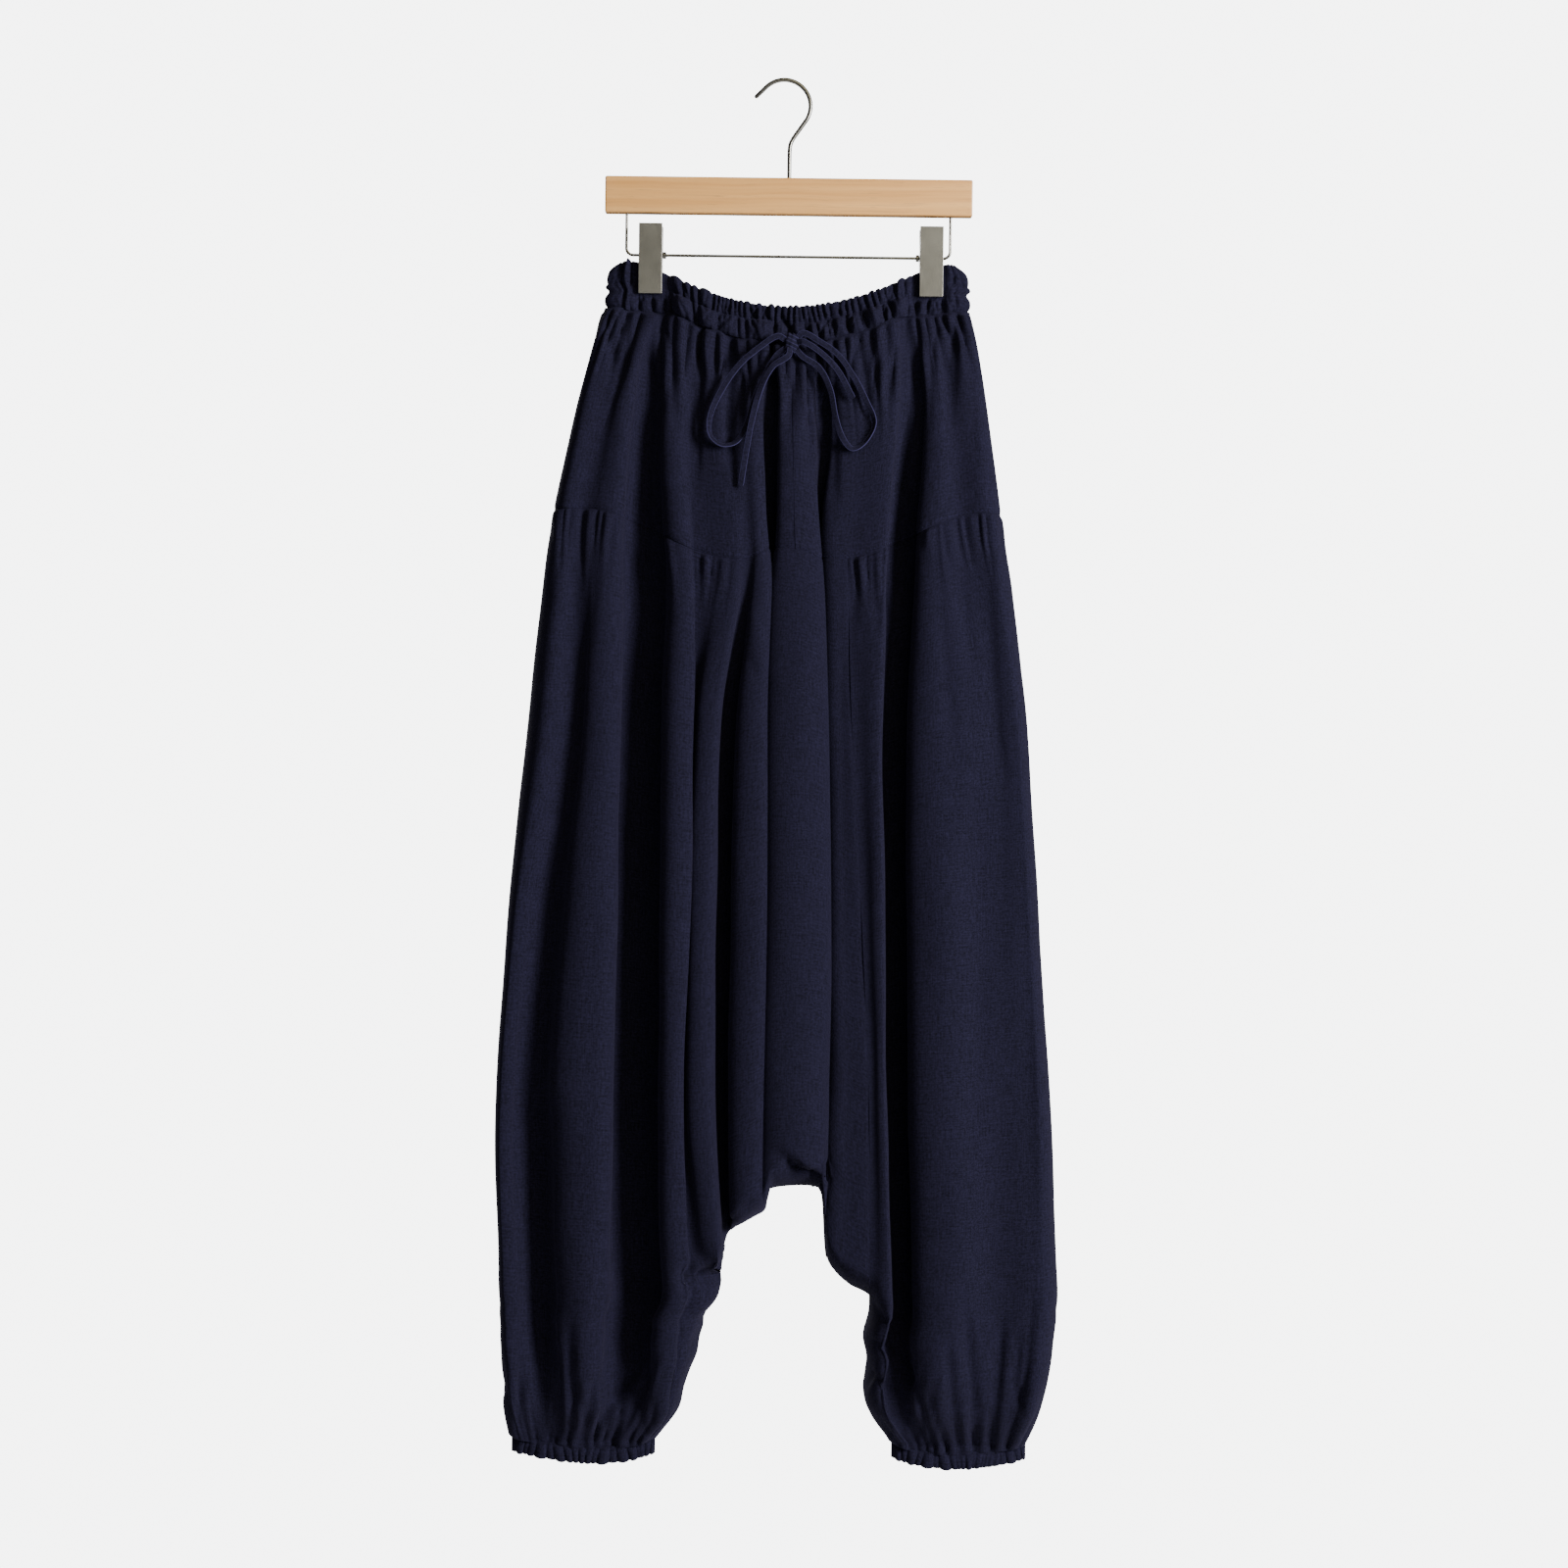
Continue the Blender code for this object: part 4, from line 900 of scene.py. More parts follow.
# Creases, each from x, drop to x, drop, with its reach to its left and right and how deep it is (ridges < 0)
creases = {
    "front": (
        (-119, 225, -122, 440, 13, 4, 5), (-76, 232, -77, 345, 9, 3, 3.2), (-49, 225, -50, 330, 6, 4, 4),
        (-62, 225, -62, 262, 5, 3, 2.2), (-98, 220, -96, 300, 6, 4, 3), (-138, 205, -146, 262, 5, 4, 2.6),
        (-11, 262, -12, 425, 10, 4, 5), (19, 245, 21, 330, 5, 3, 3.2), (42, 285, 42, 370, 8, 5, 3.6),
        (72, 222, 68, 300, 5, 4, 3.2), (105, 205, 112, 262, 4, 4, 2.6), (106, 290, 104, 440, 11, 4, 6),
        (128, 215, 124, 300, 8, 5, 3.4), (148, 212, 142, 300, 7, 5, 2.8), (160, 230, 166, 330, 8, 5, 1.8),
        (-150, 300, -156, 380, 12, 8, 1.6), (-40, 300, -38, 372, 5, 5, -1.6),
        (-176, 395, -200, 640, 9, 6, 1.8), (-190, 388, -205, 470, 5, 5, 1.2),
        (-163, 392, -168, 500, 6, 5, 1.5), (-150, 386, -158, 440, 4, 4, 1.2),
        (-33, 505, -14, 530, 5, 3, 1.2), (-30, 455, -18, 520, 6, 6, -0.9), (62, 425, 60, 480, 5, 4, 1.6),
        (75, 425, 82, 480, 5, 4, 1.4), (88, 420, 92, 470, 4, 3, 1.6), (132, 425, 150, 600, 7, 6, 1.6),
        (150, 420, 166, 520, 6, 5, 1.4), (176, 420, 186, 600, 9, 6, 1.8), (120, 640, 132, 900, 10, 10, 1),
        (170, 620, 176, 940, 12, 9, 1.4), (205, 560, 222, 1000, 9, 8, 1.4),
        (-200, 700, -212, 1010, 10, 8, 3), (-160, 720, -168, 1000, 9, 9, 1.2),
        (-82, 1035, -68, 1043, 10, 5, 6), (-68, 1043, -50, 1036, 15, 4, 14),
        (-78, 1030, -66, 1036, 4, 4, -1.6), (-80, 1044, -76, 1075, 3, 4, 2.4),
        (-70, 1078, -60, 1070, 4, 3, -2.2), (-62, 1084, -72, 1112, 5, 4, 2.2),
        (10, 939, 27, 953, 12, 2.2, 15), (27, 953, 35, 949, 13, 2.2, 12), (15, 934, 30, 946, 3, 3, -1.8),
        (-30, 985, -22, 975, 4, 3, 2), (-44, 1000, -36, 992, 4, 3, 2.4), (84, 1066, 100, 1082, 7, 2, 3.6),
        (80, 1094, 97, 1102, 7, 2, 3.6), (80, 1122, 98, 1136, 7, 2, 3.4), (92, 1085, 99, 1155, 6, 4, 3),
        (-118, 1040, -130, 1150, 12, 9, 7), (-214, 900, -202, 1194, 8, 36, 8),
        (-206, 1060, -200, 1188, 7, 3, 4.4), (-222, 1100, -214, 1186, 4, 3, 3),
        (-190, 1120, -186, 1188, 4, 3, 3.4), (-176, 1085, -174, 1180, 8, 3, 4.6),
        (-150, 1125, -166, 1190, 5, 3, 3.6), (-122, 1130, -160, 1190, 5, 3, 4.6),
        (-104, 1120, -130, 1182, 4, 3, 3.4), (112, 1110, 138, 1190, 5, 3, 4.4),
        (132, 1140, 148, 1190, 4, 3, 3.2), (150, 1100, 160, 1192, 5, 3, 4.2),
        (166, 1075, 180, 1192, 7, 3, 4.8), (196, 1085, 190, 1190, 6, 4, 4.2),
        (212, 1090, 204, 1180, 5, 3, 3), (222, 1060, 214, 1160, 5, 4, 2.2),
    ),
    "back": (
        (-150, 235, -162, 360, 10, 6, 3), (-95, 235, -88, 360, 6, 9, 3.2), (-52, 232, -50, 300, 5, 5, 2.6),
        (-20, 240, -28, 390, 8, 5, 3.4), (40, 238, 46, 380, 5, 8, 3.4), (72, 232, 76, 300, 5, 5, 2.4),
        (100, 235, 108, 370, 6, 9, 3), (150, 230, 158, 350, 9, 6, 2.6), (-180, 400, -200, 620, 9, 7, 1.8),
        (-120, 425, -116, 540, 7, 6, 1.4), (130, 425, 150, 580, 8, 7, 1.6), (180, 420, 190, 600, 7, 6, 1.6),
        (-205, 640, -214, 980, 10, 8, 2.4), (160, 640, 170, 960, 10, 9, 1.6),
        (210, 600, 222, 1000, 8, 8, 1.6), (0, 930, 16, 948, 4, 4, 2), (-64, 1046, -56, 1056, 6, 5, 2.4),
        (88, 1066, 98, 1084, 4, 4, 2), (-200, 1080, -195, 1188, 5, 4, 2.4),
        (-165, 1100, -170, 1190, 5, 4, 2.6), (-130, 1130, -150, 1190, 5, 4, 2.6),
        (125, 1110, 142, 1190, 5, 4, 2.6), (165, 1090, 172, 1190, 6, 4, 2.8),
        (200, 1105, 192, 1190, 5, 4, 2.2),
    ),
}


creaseEnd = 12.0  # how far a crease runs on past its ends
creaseLeast = 0.3  # share of its depth that it has there


def creaseAt(rows, x, drop):
    lift = np.zeros_like(x)
    for x0, drop0, x1, drop1, toLeft, toRight, depth in rows:
        along = np.array([x1 - x0, drop1 - drop0], float)
        length = math.hypot(*along)
        share = ((x - x0) * along[0] + (drop - drop0) * along[1]) / length**2
        held = np.clip(share, 0, 1)
        across = ((x - x0) * along[1] - (drop - drop0) * along[0]) / length
        across = across / np.where(across < 0, toLeft, toRight)
        beyond = (share - held) * length / creaseEnd
        full = creaseLeast + (1 - creaseLeast) * np.sin(np.pi * held) ** 0.5
        lift -= depth * np.exp(-(across**2) - beyond**2) * full
    return lift


crinkle = {"depths": (0.4, 1.0), "reach": 1.2, "longerReach": 0.09, "toRight": 0.6}


# Small crinkles of gathered cloth, strewn over a stretch of it: short creases that lean either way
def crinkles(seed, count, xs, drops, lengths, lean, depth):
    draw = random.Random(seed)
    made = []
    for _ in range(count):
        x, drop = draw.uniform(*xs), draw.uniform(*drops)
        length, turned = draw.uniform(*lengths), math.radians(draw.uniform(-lean, lean))
        size = draw.uniform(*crinkle["depths"])
        reach = crinkle["reach"] + crinkle["longerReach"] * length
        across, down = length * math.sin(turned), length * math.cos(turned)
        made.append((x, drop, x + across, drop + down, reach, reach * crinkle["toRight"], depth * size))
    return tuple(made)


crinkled = {
    "band": crinkles(71, 150, (-158, 158), (0, 26), (5, 12), 42, 2.2),
    "waist": crinkles(72, 60, (-160, 160), (0, 45), (12, 50), 14, 2.6),
    "ankle": crinkles(73, 70, (-235, 230), (1110, 1180), (12, 55), 16, 2.2),
    "leg": crinkles(74, 26, (-225, 225), (420, 900), (40, 160), 8, 0.9),
}


def rippleAt(x, drop, seed):
    # The slight unevenness of hanging cloth
    swayed = 0.32 * np.sin(drop / 31 + 1.7 * np.sin(x / 23 + seed) + seed)
    upright = 0.25 * np.sin(x / 9.5 + drop / 67 + 2.3 * seed)
    slanted = 0.18 * np.sin(x / 17 - drop / 19 + 4.1 * seed)
    return swayed + upright + slanted


def clothPiece(name, points, thick):
    mesh = gridMesh(name, points)
    facing = np.zeros(len(mesh.polygons) * 3, np.float32)
    mesh.polygons.foreach_get("normal", facing)
    outward = towards["front" if "Front" in name else "back"]
    if facing.reshape(-1, 3)[:, 1].mean() * outward < 0:
        mesh.flip_normals()
    mesh.shade_smooth()
    piece = finishPiece(name, mesh, navyCloth)
    shell = piece.modifiers.new("cloth", "SOLIDIFY")
    shell.thickness = thick * mm
    shell.offset = -1
    rim = piece.modifiers.new("rim", "EDGE_SPLIT")  # keeps a piece's cut edge from shading as a rounded one
    rim.split_angle = math.radians(70)
    return piece


waistTroughs = (
    -168, -160, -153, -145, -138, -128, -108, -98, -85, -74, -62, -48, -36, -26, -14, -2, 8, 18, 28, 40,
    50, 62, 73, 85, 104, 112, 120, 128, 135, 148, 157, 164, 172,
)
legTroughs = (
    -222, -211, -205, -192, -186, -175, -163, -158, -147, -141, -113, -107, -96, -79, -73, -63, -58, -47, -40,
    55, 60, 71, 76, 86, 92, 114, 119, 131, 137, 149, 155, 168, 174, 187, 193, 204,
)
waistGathers = {
    "front": gathersAt(waistTroughs, "waist", 74, 11),
    "back": makeGathers(-165, 165, 10.0, "waist", 66, 12, 0.5),
}
yokeGathers = {
    "front": gathersAt(legTroughs, "yoke", 58, 21, widest=14.0, roundness=1.3),
    "back": makeGathers(-215, 215, 10.0, "yoke", 58, 22, 0.6, roundness=1.3),
}
ankleGathers = {
    "front": makeGathers(-240, 240, 8.6, "ankle", 84, 31, 0.62),
    "back": makeGathers(-240, 240, 8.2, "ankle", 76, 32, 0.62),
}


def seamGroove(distance):
    depth, width = seams["groove"]
    return -depth * np.exp(-((distance / width) ** 2))


body = {
    "columnsPerFold": 18,
    "cloth": 0.8,
    "plain": 5.0,  # the cloth is smooth nearer than this to the plane between the layers
    "turned": 30.0,  # height over which a gusset's creases follow its turned-under end
    "gussetGathers": (0.6, 1.7),  # height and reach of a gusset's gathers beside a leg's
    "edgeNarrower": 1.3,  # how much narrower an upright seam's groove is
    "ankleShift": 6.0,  # how far a layer's ankle crinkles are moved up or down
}
# Each kind of panel: spans are the folds or upright seams that it lies between, guesses are drops near its
# top and bottom seams, crowding is how much closer its rows lie there, and grooves is how much its upright
# seams show
panelKinds = {
    "yoke": {
        "spans": {"left": ("sideLeft", "centreRoll"), "right": ("centreRoll", "sideRight")},
        "seams": (bandSeam, yokeSeam),
        "guesses": (210, 400),
        "rows": {"front": 64, "back": 64},
        "crowding": 0.6,
        "clear": seams["gap"] / 2,
        "grooves": seams["soft"],
        "seed": 1.0,
        "flat": (0.25, 0.205),
        "restsOn": "waistbandFront",
    },
    "leg": {
        "spans": {"left": ("sideLeft", "seamLeft"), "right": ("seamRight", "sideRight")},
        "seams": (yokeSeam, hemSeam),
        "guesses": (400, 1195),
        "rows": {"front": 170, "back": 124},
        "crowding": 0.6,
        "clear": seams["gap"] / 2,
        "grooves": seams["soft"],
        "seed": 3.0,
        "flat": (0.29, 0.83),
        "restsOn": "yokeFrontLeft",
    },
    "gusset": {
        "spans": {"": ("seamLeft", "seamRight")},
        "seams": (yokeSeam, crotchSeam),
        "guesses": (410, 1000),
        "rows": {"front": 160, "back": 96},
        "crowding": 0.72,
        "clear": 0.0,
        "grooves": 3 * seams["soft"],
        "seed": 7.0,
        "flat": (0.27, 0.60),
        "restsOn": "yokeFrontLeft",
    },
}


def hungCloth(kind, layer, side):
    # A panel's hung cloth, down and across: x, y and drop
    own = panelKinds[kind]
    first, last = (placeOf(layer, name) for name in own["spans"][side])
    (topSeam, lowSeam), (topGuess, lowGuess) = own["seams"], own["guesses"]
    t = np.linspace(0, 1, own["rows"][layer] + 1)
    crowded = t - own["crowding"] * np.sin(math.tau * t) / math.tau
    count = body["columnsPerFold"] * (last - first)
    columns = []
    for column in range(count + 1):
        place = first + (last - first) * column / count
        top = dropOn(topSeam, layer, place, topGuess) - seams["tuck"]
        low = dropOn(lowSeam, layer, place, lowGuess) - own["clear"]
        drop = top + (low - top) * crowded
        x, depth = clothLine(layer, place, drop)
        if kind == "gusset" and 0 < column < count:
            depth = depth * turnedUnder(low - drop)
        columns.append(np.stack([x, depth * towards[layer], drop], axis=-1))
    return np.stack(columns, axis=1)


def panelPoints(kind, layer, side):
    # The outer face of a panel
    own = panelKinds[kind]
    points = hungCloth(kind, layer, side)
    x, y, drop = np.moveaxis(points, -1, 0)
    fromTop, fromBottom = drop - drop[:1] - seams["tuck"], drop[-1:] - drop
    level = 1 - smooth(0, body["turned"], fromBottom) if kind == "gusset" else 0.0
    normal = outwardNormals(points, layer, level)
    lift = creaseAt(creases[layer] + crinkled["leg"], x, drop)
    lift += rippleAt(x, drop, own["seed"] + (side == "left"))
    lift -= seams["tuck"] * (1 - smooth(-seams["tuck"], 0, fromTop))
    lift += seamGroove(fromTop)
    atTop, atBottom = np.broadcast_to(x[:1], x.shape), np.broadcast_to(x[-1:], x.shape)
    if kind == "yoke":
        lift += creaseAt(crinkled["waist"], x * towards[layer], drop - drop[:1])
        lift += gatherAt(waistGathers[layer], atTop, fromTop) + seamGroove(fromBottom)
    elif kind == "leg":
        lift += creaseAt(crinkled["ankle"], x, drop + body["ankleShift"] * towards[layer])
        lift += gatherAt(yokeGathers[layer], atTop, fromTop)
        lift += gatherAt(ankleGathers[layer], atBottom, fromBottom) + seamGroove(fromBottom)
    else:
        height, reach = body["gussetGathers"]
        lift += height * gatherAt(yokeGathers[layer], atTop, fromTop / reach)
    for outerSide, edge in (("left", x[:, :1]), ("right", x[:, -1:])):
        if side != outerSide:
            lift += own["grooves"] * seamGroove(np.abs(x - edge) * body["edgeNarrower"])
    lift *= smooth(0, body["plain"], np.abs(y))
    points = points + normal * lift[..., None]
    points[..., 1] = towards[layer] * np.maximum(seams["gap"] / 2, towards[layer] * points[..., 1])
    return inFrame(points[..., 0], points[..., 1], points[..., 2])


sewing = {"pitch": 0.0033, "length": 0.0024, "thick": 0.0003, "proud": 0.00012, "aboveSeam": 0.0022}


def sew(name, line, layer):
    # A row of stitches along a line on a piece's outer face
    line = line + np.array([0, towards[layer] * sewing["proud"], 0])
    lengths = runOf(line)
    bm = bmesh.new()
    for start in np.arange(0.001, lengths[-1] - sewing["length"], sewing["pitch"]):
        ends = [
            Vector([float(np.interp(spot, lengths, line[:, axis])) for axis in range(3)])
            for spot in (start, start + sewing["length"])
        ]
        along = ends[1] - ends[0]
        half = Vector((along.length / 2, sewing["thick"] / 2, sewing["thick"] / 2))
        place = Matrix.LocRotScale((ends[0] + ends[1]) / 2, along.to_track_quat("X", "Z"), half)
        bmesh.ops.create_icosphere(bm, subdivisions=1, radius=1.0, matrix=place)
    mesh = meshOf(name, bm)
    mesh.shade_smooth()
    finishPiece(name, mesh, navyThread, added=True)


def panelPiece(kind, layer, side=""):
    points = panelPoints(kind, layer, side)
    name = f"{kind}{layer.title()}{side.title()}"
    if kind == "yoke":
        above = points[..., 2] - points[-1:, :, 2]
        row = np.abs(above - sewing["aboveSeam"]).argmin(axis=0)
        sew(name + "Sewing", points[row, np.arange(points.shape[1])], layer)
    return clothPiece(name, points, body["cloth"])


upperTroughs = (
    -170, -158, -151, -145, -138, -131, -120, -109, -104, -91, -84, -78, -66, -62, -58.5, -55, -51, -47,
    -42.5, -38, -32, -27, -22, -17, -11, -6, 0, 5, 10, 14.5, 19, 24, 28, 33, 38, 46, 52, 57, 63, 70, 76,
    81, 87, 95, 103, 109, 114, 125, 136, 145, 152, 160, 170,
)
lowerTroughs = (
    -170, -156, -143, -131, -119, -109, -103, -83, -79, -60, -43, -37, -11.5, 2, 15, 25, 35, 40, 51, 62, 65,
    82, 88.5, 105, 113, 124, 136, 147, 156, 170,
)
bandGathers = {
    ("front", "upper"): gathersAt(upperTroughs, "upper", 1, 41),
    ("front", "lower"): gathersAt(lowerTroughs, "lower", 1, 42),
    ("back", "upper"): makeGathers(-160, 160, 6.6, "upper", 1, 43, 0.5),
    ("back", "lower"): makeGathers(-160, 160, 14.0, "lower", 1, 44, 0.6),
}
# How far the band's creases lean to the right over its height, at each x
bandSkew = (
    (-160, -120, -85, -60, -30, 0, 22, 45, 62, 88, 100, 120, 160),
    (3, -2, -3, 4, -3, 2, -8, -3, -9, -8, -4, 4, -4),
)
# How far its two ends stand out, at each share of its height
bandEnds = (
    (0, 0.12, 0.3, 0.5, 0.6, 0.72, 0.88, 1.0),
    (-6, -2, 0.5, 1.5, -3, -0.5, 0.5, -1),
)


def waistbandPiece(layer):
    # Two gathered casings: a fine one at the edge and a puffed one for the drawstring below it
    share = np.linspace(0, 1, band["rows"] + 1)[:, None]
    across = np.linspace(0, 1, band["columns"] + 1)[None, :]
    even = band["even"]
    x = band["half"] * ((1 - even) * np.sin(np.pi * (across - 0.5)) + even * (2 * across - 1))
    x, share = np.broadcast_arrays(x, share)
    along = np.clip(x / band["half"], -1, 1)
    fuller = band["endDepth"] * np.sqrt(1 - along**8) * smooth(*band["endFrom"], np.abs(x))
    oval = np.maximum(pinched(x, band["depth"] * np.sqrt(1 - along**2), 1.0), fuller)
    facing = np.stack([band["depth"] * along, band["half"] * np.sqrt(1 - along**2)])
    facing = facing / np.linalg.norm(facing, axis=0)
    ends = smooth(0, band["endShare"], np.minimum(across, 1 - across))
    height, width = band["splitWave"]
    split = band["split"] + height * np.sin(x / width)
    free = 1 - nearClip(x, clipGrip["plain"]) * (1 - band["freed"] * smooth(*band["freedFrom"], share))
    atEnd = smooth(*band["calmFrom"], np.abs(x))
    isUpper = share < split
    upper = np.sin(np.pi * np.clip(share / split, 0, 1))
    lower = np.sin(np.pi * np.clip((share - split) / (1 - split), 0, 1))
    leaned = x + through(*bandSkew, x) * (share - split)
    upperRidge = ridgeAt(bandGathers[layer, "upper"], leaned, roundness=0.85)
    lowerRidge = ridgeAt(bandGathers[layer, "lower"], leaned, roundness=0.75)
    faint, (carried, dies) = band["faint"], band["carried"]
    fold = np.where(isUpper, upperRidge * (faint + (1 - faint) * upper), lowerRidge * lower**0.5)
    fold = fold + np.where(isUpper, 0, carried * upperRidge * (1 - dies * lower))
    upperPuff, lowerPuff = band["puffs"]
    puff = np.where(isUpper, upperPuff * upper**0.6, lowerPuff * lower**0.5) - band["sunk"]
    fold = fold + creaseAt(crinkled["band"], x * towards[layer], share * band["height"])
    stand = fold * (1 - band["calm"] * atEnd) * ends + puff * (1 + band["fullerEnds"] * atEnd)
    stand = free * stand
    depth = metAtEnds(oval + stand * facing[1])
    scallop = ridgeAt(bandGathers[layer, "upper"], x, roundness=0.5)
    ruffle = free * ends * scallop * band["ruffle"] * (1 - smooth(0, band["ruffled"], share))
    drop = bandTop(x) + (bandSeam(x) - bandTop(x)) * share - ruffle
    drop = drop + band["endsDip"] * (1 - smooth(0, band["depth"], band["half"] - np.abs(x))) * (1 - share)
    outline = through(*bandEnds, share) * smooth(*band["outlineFrom"], np.abs(x)) * np.sign(x)
    points = inFrame(x + stand * facing[0] + outline, towards[layer] * depth, drop)
    name = f"waistband{layer.title()}"
    line = points[np.abs(share - split).argmin(axis=0), np.arange(points.shape[1])]
    sew(name + "Sewing", line[band["unsewn"] : -band["unsewn"]], layer)
    return clothPiece(name, points, band["cloth"])


cuffGathers = {
    (layer, side): makeGathers(*ends, step, "cuff", 1, seed, 0.5)
    for layer, side, ends, step, seed in (
        ("front", "left", (-234, -100), 6.0, 51),
        ("front", "right", (98, 225), 6.0, 52),
        ("back", "left", (-234, -100), 6.2, 53),
        ("back", "right", (98, 225), 6.2, 54),
    )
}


def cuffPiece(layer, side):
    low, high = cuffs[side]
    middle, half = (low + high) / 2, (high - low) / 2
    share = np.linspace(0, 1, cuffs["rows"] + 1)[:, None]
    angle = math.pi * (np.linspace(0, 1, cuffs["columns"] + 1)[None, :] - 0.5)
    angle, share = np.broadcast_arrays(angle, share)
    share = share * (1 + cuffs["tuck"]) - cuffs["tuck"]
    x, oval = middle + half * np.sin(angle), cuffs["depth"] * np.cos(angle)
    whole = smooth(-cuffs["tuck"], cuffs["wholeFrom"], share)
    oval = oval * (cuffs["topDepth"] + (1 - cuffs["topDepth"]) * whole)
    free = smooth(0, cuffs["foldFrom"], np.cos(angle))
    reach, width = cuffs["drift"]
    ridge = ridgeAt(cuffGathers[layer, side], x + reach * np.sin(x / width) * share, roundness=0.6)
    swell = np.sin(np.pi * np.maximum(0, share)) - cuffs["sunk"]
    grown = cuffs["faint"] + (1 - cuffs["faint"]) * share
    fold = free * (ridge * grown + swell) * smooth(-cuffs["tuck"], 0, share)
    depth = metAtEnds(oval + fold)
    drop = hemSeam(x) + cuffs["height"] * share
    drop = drop + free * ridge * cuffs["scallop"] * smooth(0.5, 1, share)
    points = inFrame(x, towards[layer] * depth, drop)
    place = f"{layer.title()}{side.title()}"
    sew(f"cuff{place}Sewing", points[cuffs["sewnRow"], cuffs["unsewn"] : -cuffs["unsewn"]], layer)
    return clothPiece("cuff" + place, points, cuffs["cloth"])


print("cloth")
for layer in towards:
    waistbandPiece(layer)
    for side in ("left", "right"):
        panelPiece("yoke", layer, side)
    print(layer, "waistband and yoke made")
    for side in ("left", "right"):
        panelPiece("leg", layer, side)
        cuffPiece(layer, side)
    panelPiece("gusset", layer)
    print(layer, "legs and gusset made")


# Hanger
hanger = {
    "bar": (322.0, 13.0, 32.0),
    "barTop": 85.0,
    "barEdge": 1.5,
    "hookWire": 1.9,
    "hookRadius": 23.0,
    "hookStem": ((0, 60), (0.8, 54), (3.5, 49)),
    "hookTurn": (-36, 132),
    "hookTip": (-24.5, 13),
    "frameWire": 1.25,
    "frameHalf": 142.0,
    "frameCorner": 6.0,
    "rodDrop": 153.5,
    "clear": 0.3,  # between the bar and the wires' ends
    "arcSteps": 10,
    "hookSteps": 48,
    "hookEase": 5.0,
}
clipShape = {
    "width": clipGrip["width"],
    "top": 127.0,
    "length": 61.0,
    "steel": 1.0,
    "jawHalf": 4.6,
    "edge": 0.3,
    "springWire": 0.55,
    "springRadius": 3.3,
    "springTurns": 9,
    "springSteps": 16,  # in each turn
    "springEase": 0.6,
    "collarRadius": 3.0,
    "collarWidth": 3.0,
    "collarEdge": 0.5,
    "collarEase": (0.15, 0.3),  # round the rod and beside the clip
}


def hangerBar():
    bm = bmesh.new()
    bmesh.ops.create_cube(bm, size=1.0)
    bmesh.ops.scale(bm, vec=Vector(hanger["bar"]) * mm, verts=bm.verts)
    middle = inFrame(0.0, 0.0, hanger["barTop"] + hanger["bar"][2] / 2)
    bmesh.ops.translate(bm, vec=Vector(middle), verts=bm.verts)
    edge = hanger["barEdge"] * mm
    bmesh.ops.bevel(bm, geom=bm.edges[:], offset=edge, segments=5, profile=0.5, affect="EDGES", material=-1)
    mesh = meshOf("hangerBar", bm)
    mesh.shade_smooth()
    mesh.set_sharp_from_angle(angle=math.radians(40))
    return finishPiece("hangerBar", mesh, beech)


def wirePiece(name, points, radius, roundTip=False):
    # A bent wire through the points, with a rounded far tip where it has one
    curve = bpy.data.curves.new(name, "CURVE")
    curve.dimensions = "3D"
    curve.bevel_depth = radius * mm
    curve.bevel_resolution = 5
    curve.use_fill_caps = True
    spline = curve.splines.new("POLY")
    own = [tuple(inFrame(*map(float, point))) for point in points]
    sizes = [1.0] * len(own)
    if roundTip:
        last, before = Vector(own[-1]), Vector(own[-2])
        way = (last - before).normalized() * radius * mm
        for share in (0.35, 0.65, 0.85, 0.96, 1.0):
            own.append(tuple(last + way * share))
            sizes.append(math.sqrt(max(0.0004, 1 - share**2)))
    spline.points.add(len(own) - 1)
    for spot, point, size in zip(spline.points, own, sizes):
        spot.co = (*point, 1.0)
        spot.radius = size
    return finishPiece(name, curve, wireSteel)


def arcPoints(x, drop, radius, start, end, steps):
    turned = [math.radians(start + (end - start) * i / steps) for i in range(steps + 1)]
    return [(x + radius * math.cos(t), 0, drop - radius * math.sin(t)) for t in turned]


def roundedPath(points, cut, steps=6):
    # The same path with each corner cut to a short curve
    made = [points[0]]
    for before, corner, after in zip(points, points[1:], points[2:]):
        a, b, c = (np.array(p, float) for p in (before, corner, after))
        start = b + (a - b) * min(0.5, cut / np.linalg.norm(a - b))
        end = b + (c - b) * min(0.5, cut / np.linalg.norm(c - b))
        for i in range(steps + 1):
            t = i / steps
            made.append(tuple((1 - t) ** 2 * start + 2 * t * (1 - t) * b + t**2 * end))
    return made + [points[-1]]


def hangerHook():
    crownX, crownDrop = -garmentX, hanger["hookRadius"] - hanger["hookWire"]
    stem = [(0, 0, hanger["barTop"] - hanger["clear"])] + [(x, 0, drop) for x, drop in hanger["hookStem"]]
    crown = arcPoints(crownX, crownDrop, hanger["hookRadius"], *hanger["hookTurn"], hanger["hookSteps"])
    stem = roundedPath(stem + [crown[0]], hanger["hookEase"])
    tip = (crownX + hanger["hookTip"][0], 0, hanger["hookTip"][1])
    return wirePiece("hangerHook", stem[:-1] + crown + [tip], hanger["hookWire"], roundTip=True)


def hangerFrame():
    half, corner, steps = hanger["frameHalf"], hanger["frameCorner"], hanger["arcSteps"]
    left = arcPoints(corner - half, hanger["rodDrop"] - corner, corner, 180, 270, steps)
    right = arcPoints(half - corner, hanger["rodDrop"] - corner, corner, 270, 360, steps)
    top = hanger["barTop"] + hanger["bar"][2] + hanger["clear"]
    points = [(-half, 0, top)] + left + right + [(half, 0, top)]
    return wirePiece("hangerFrame", points, hanger["frameWire"])


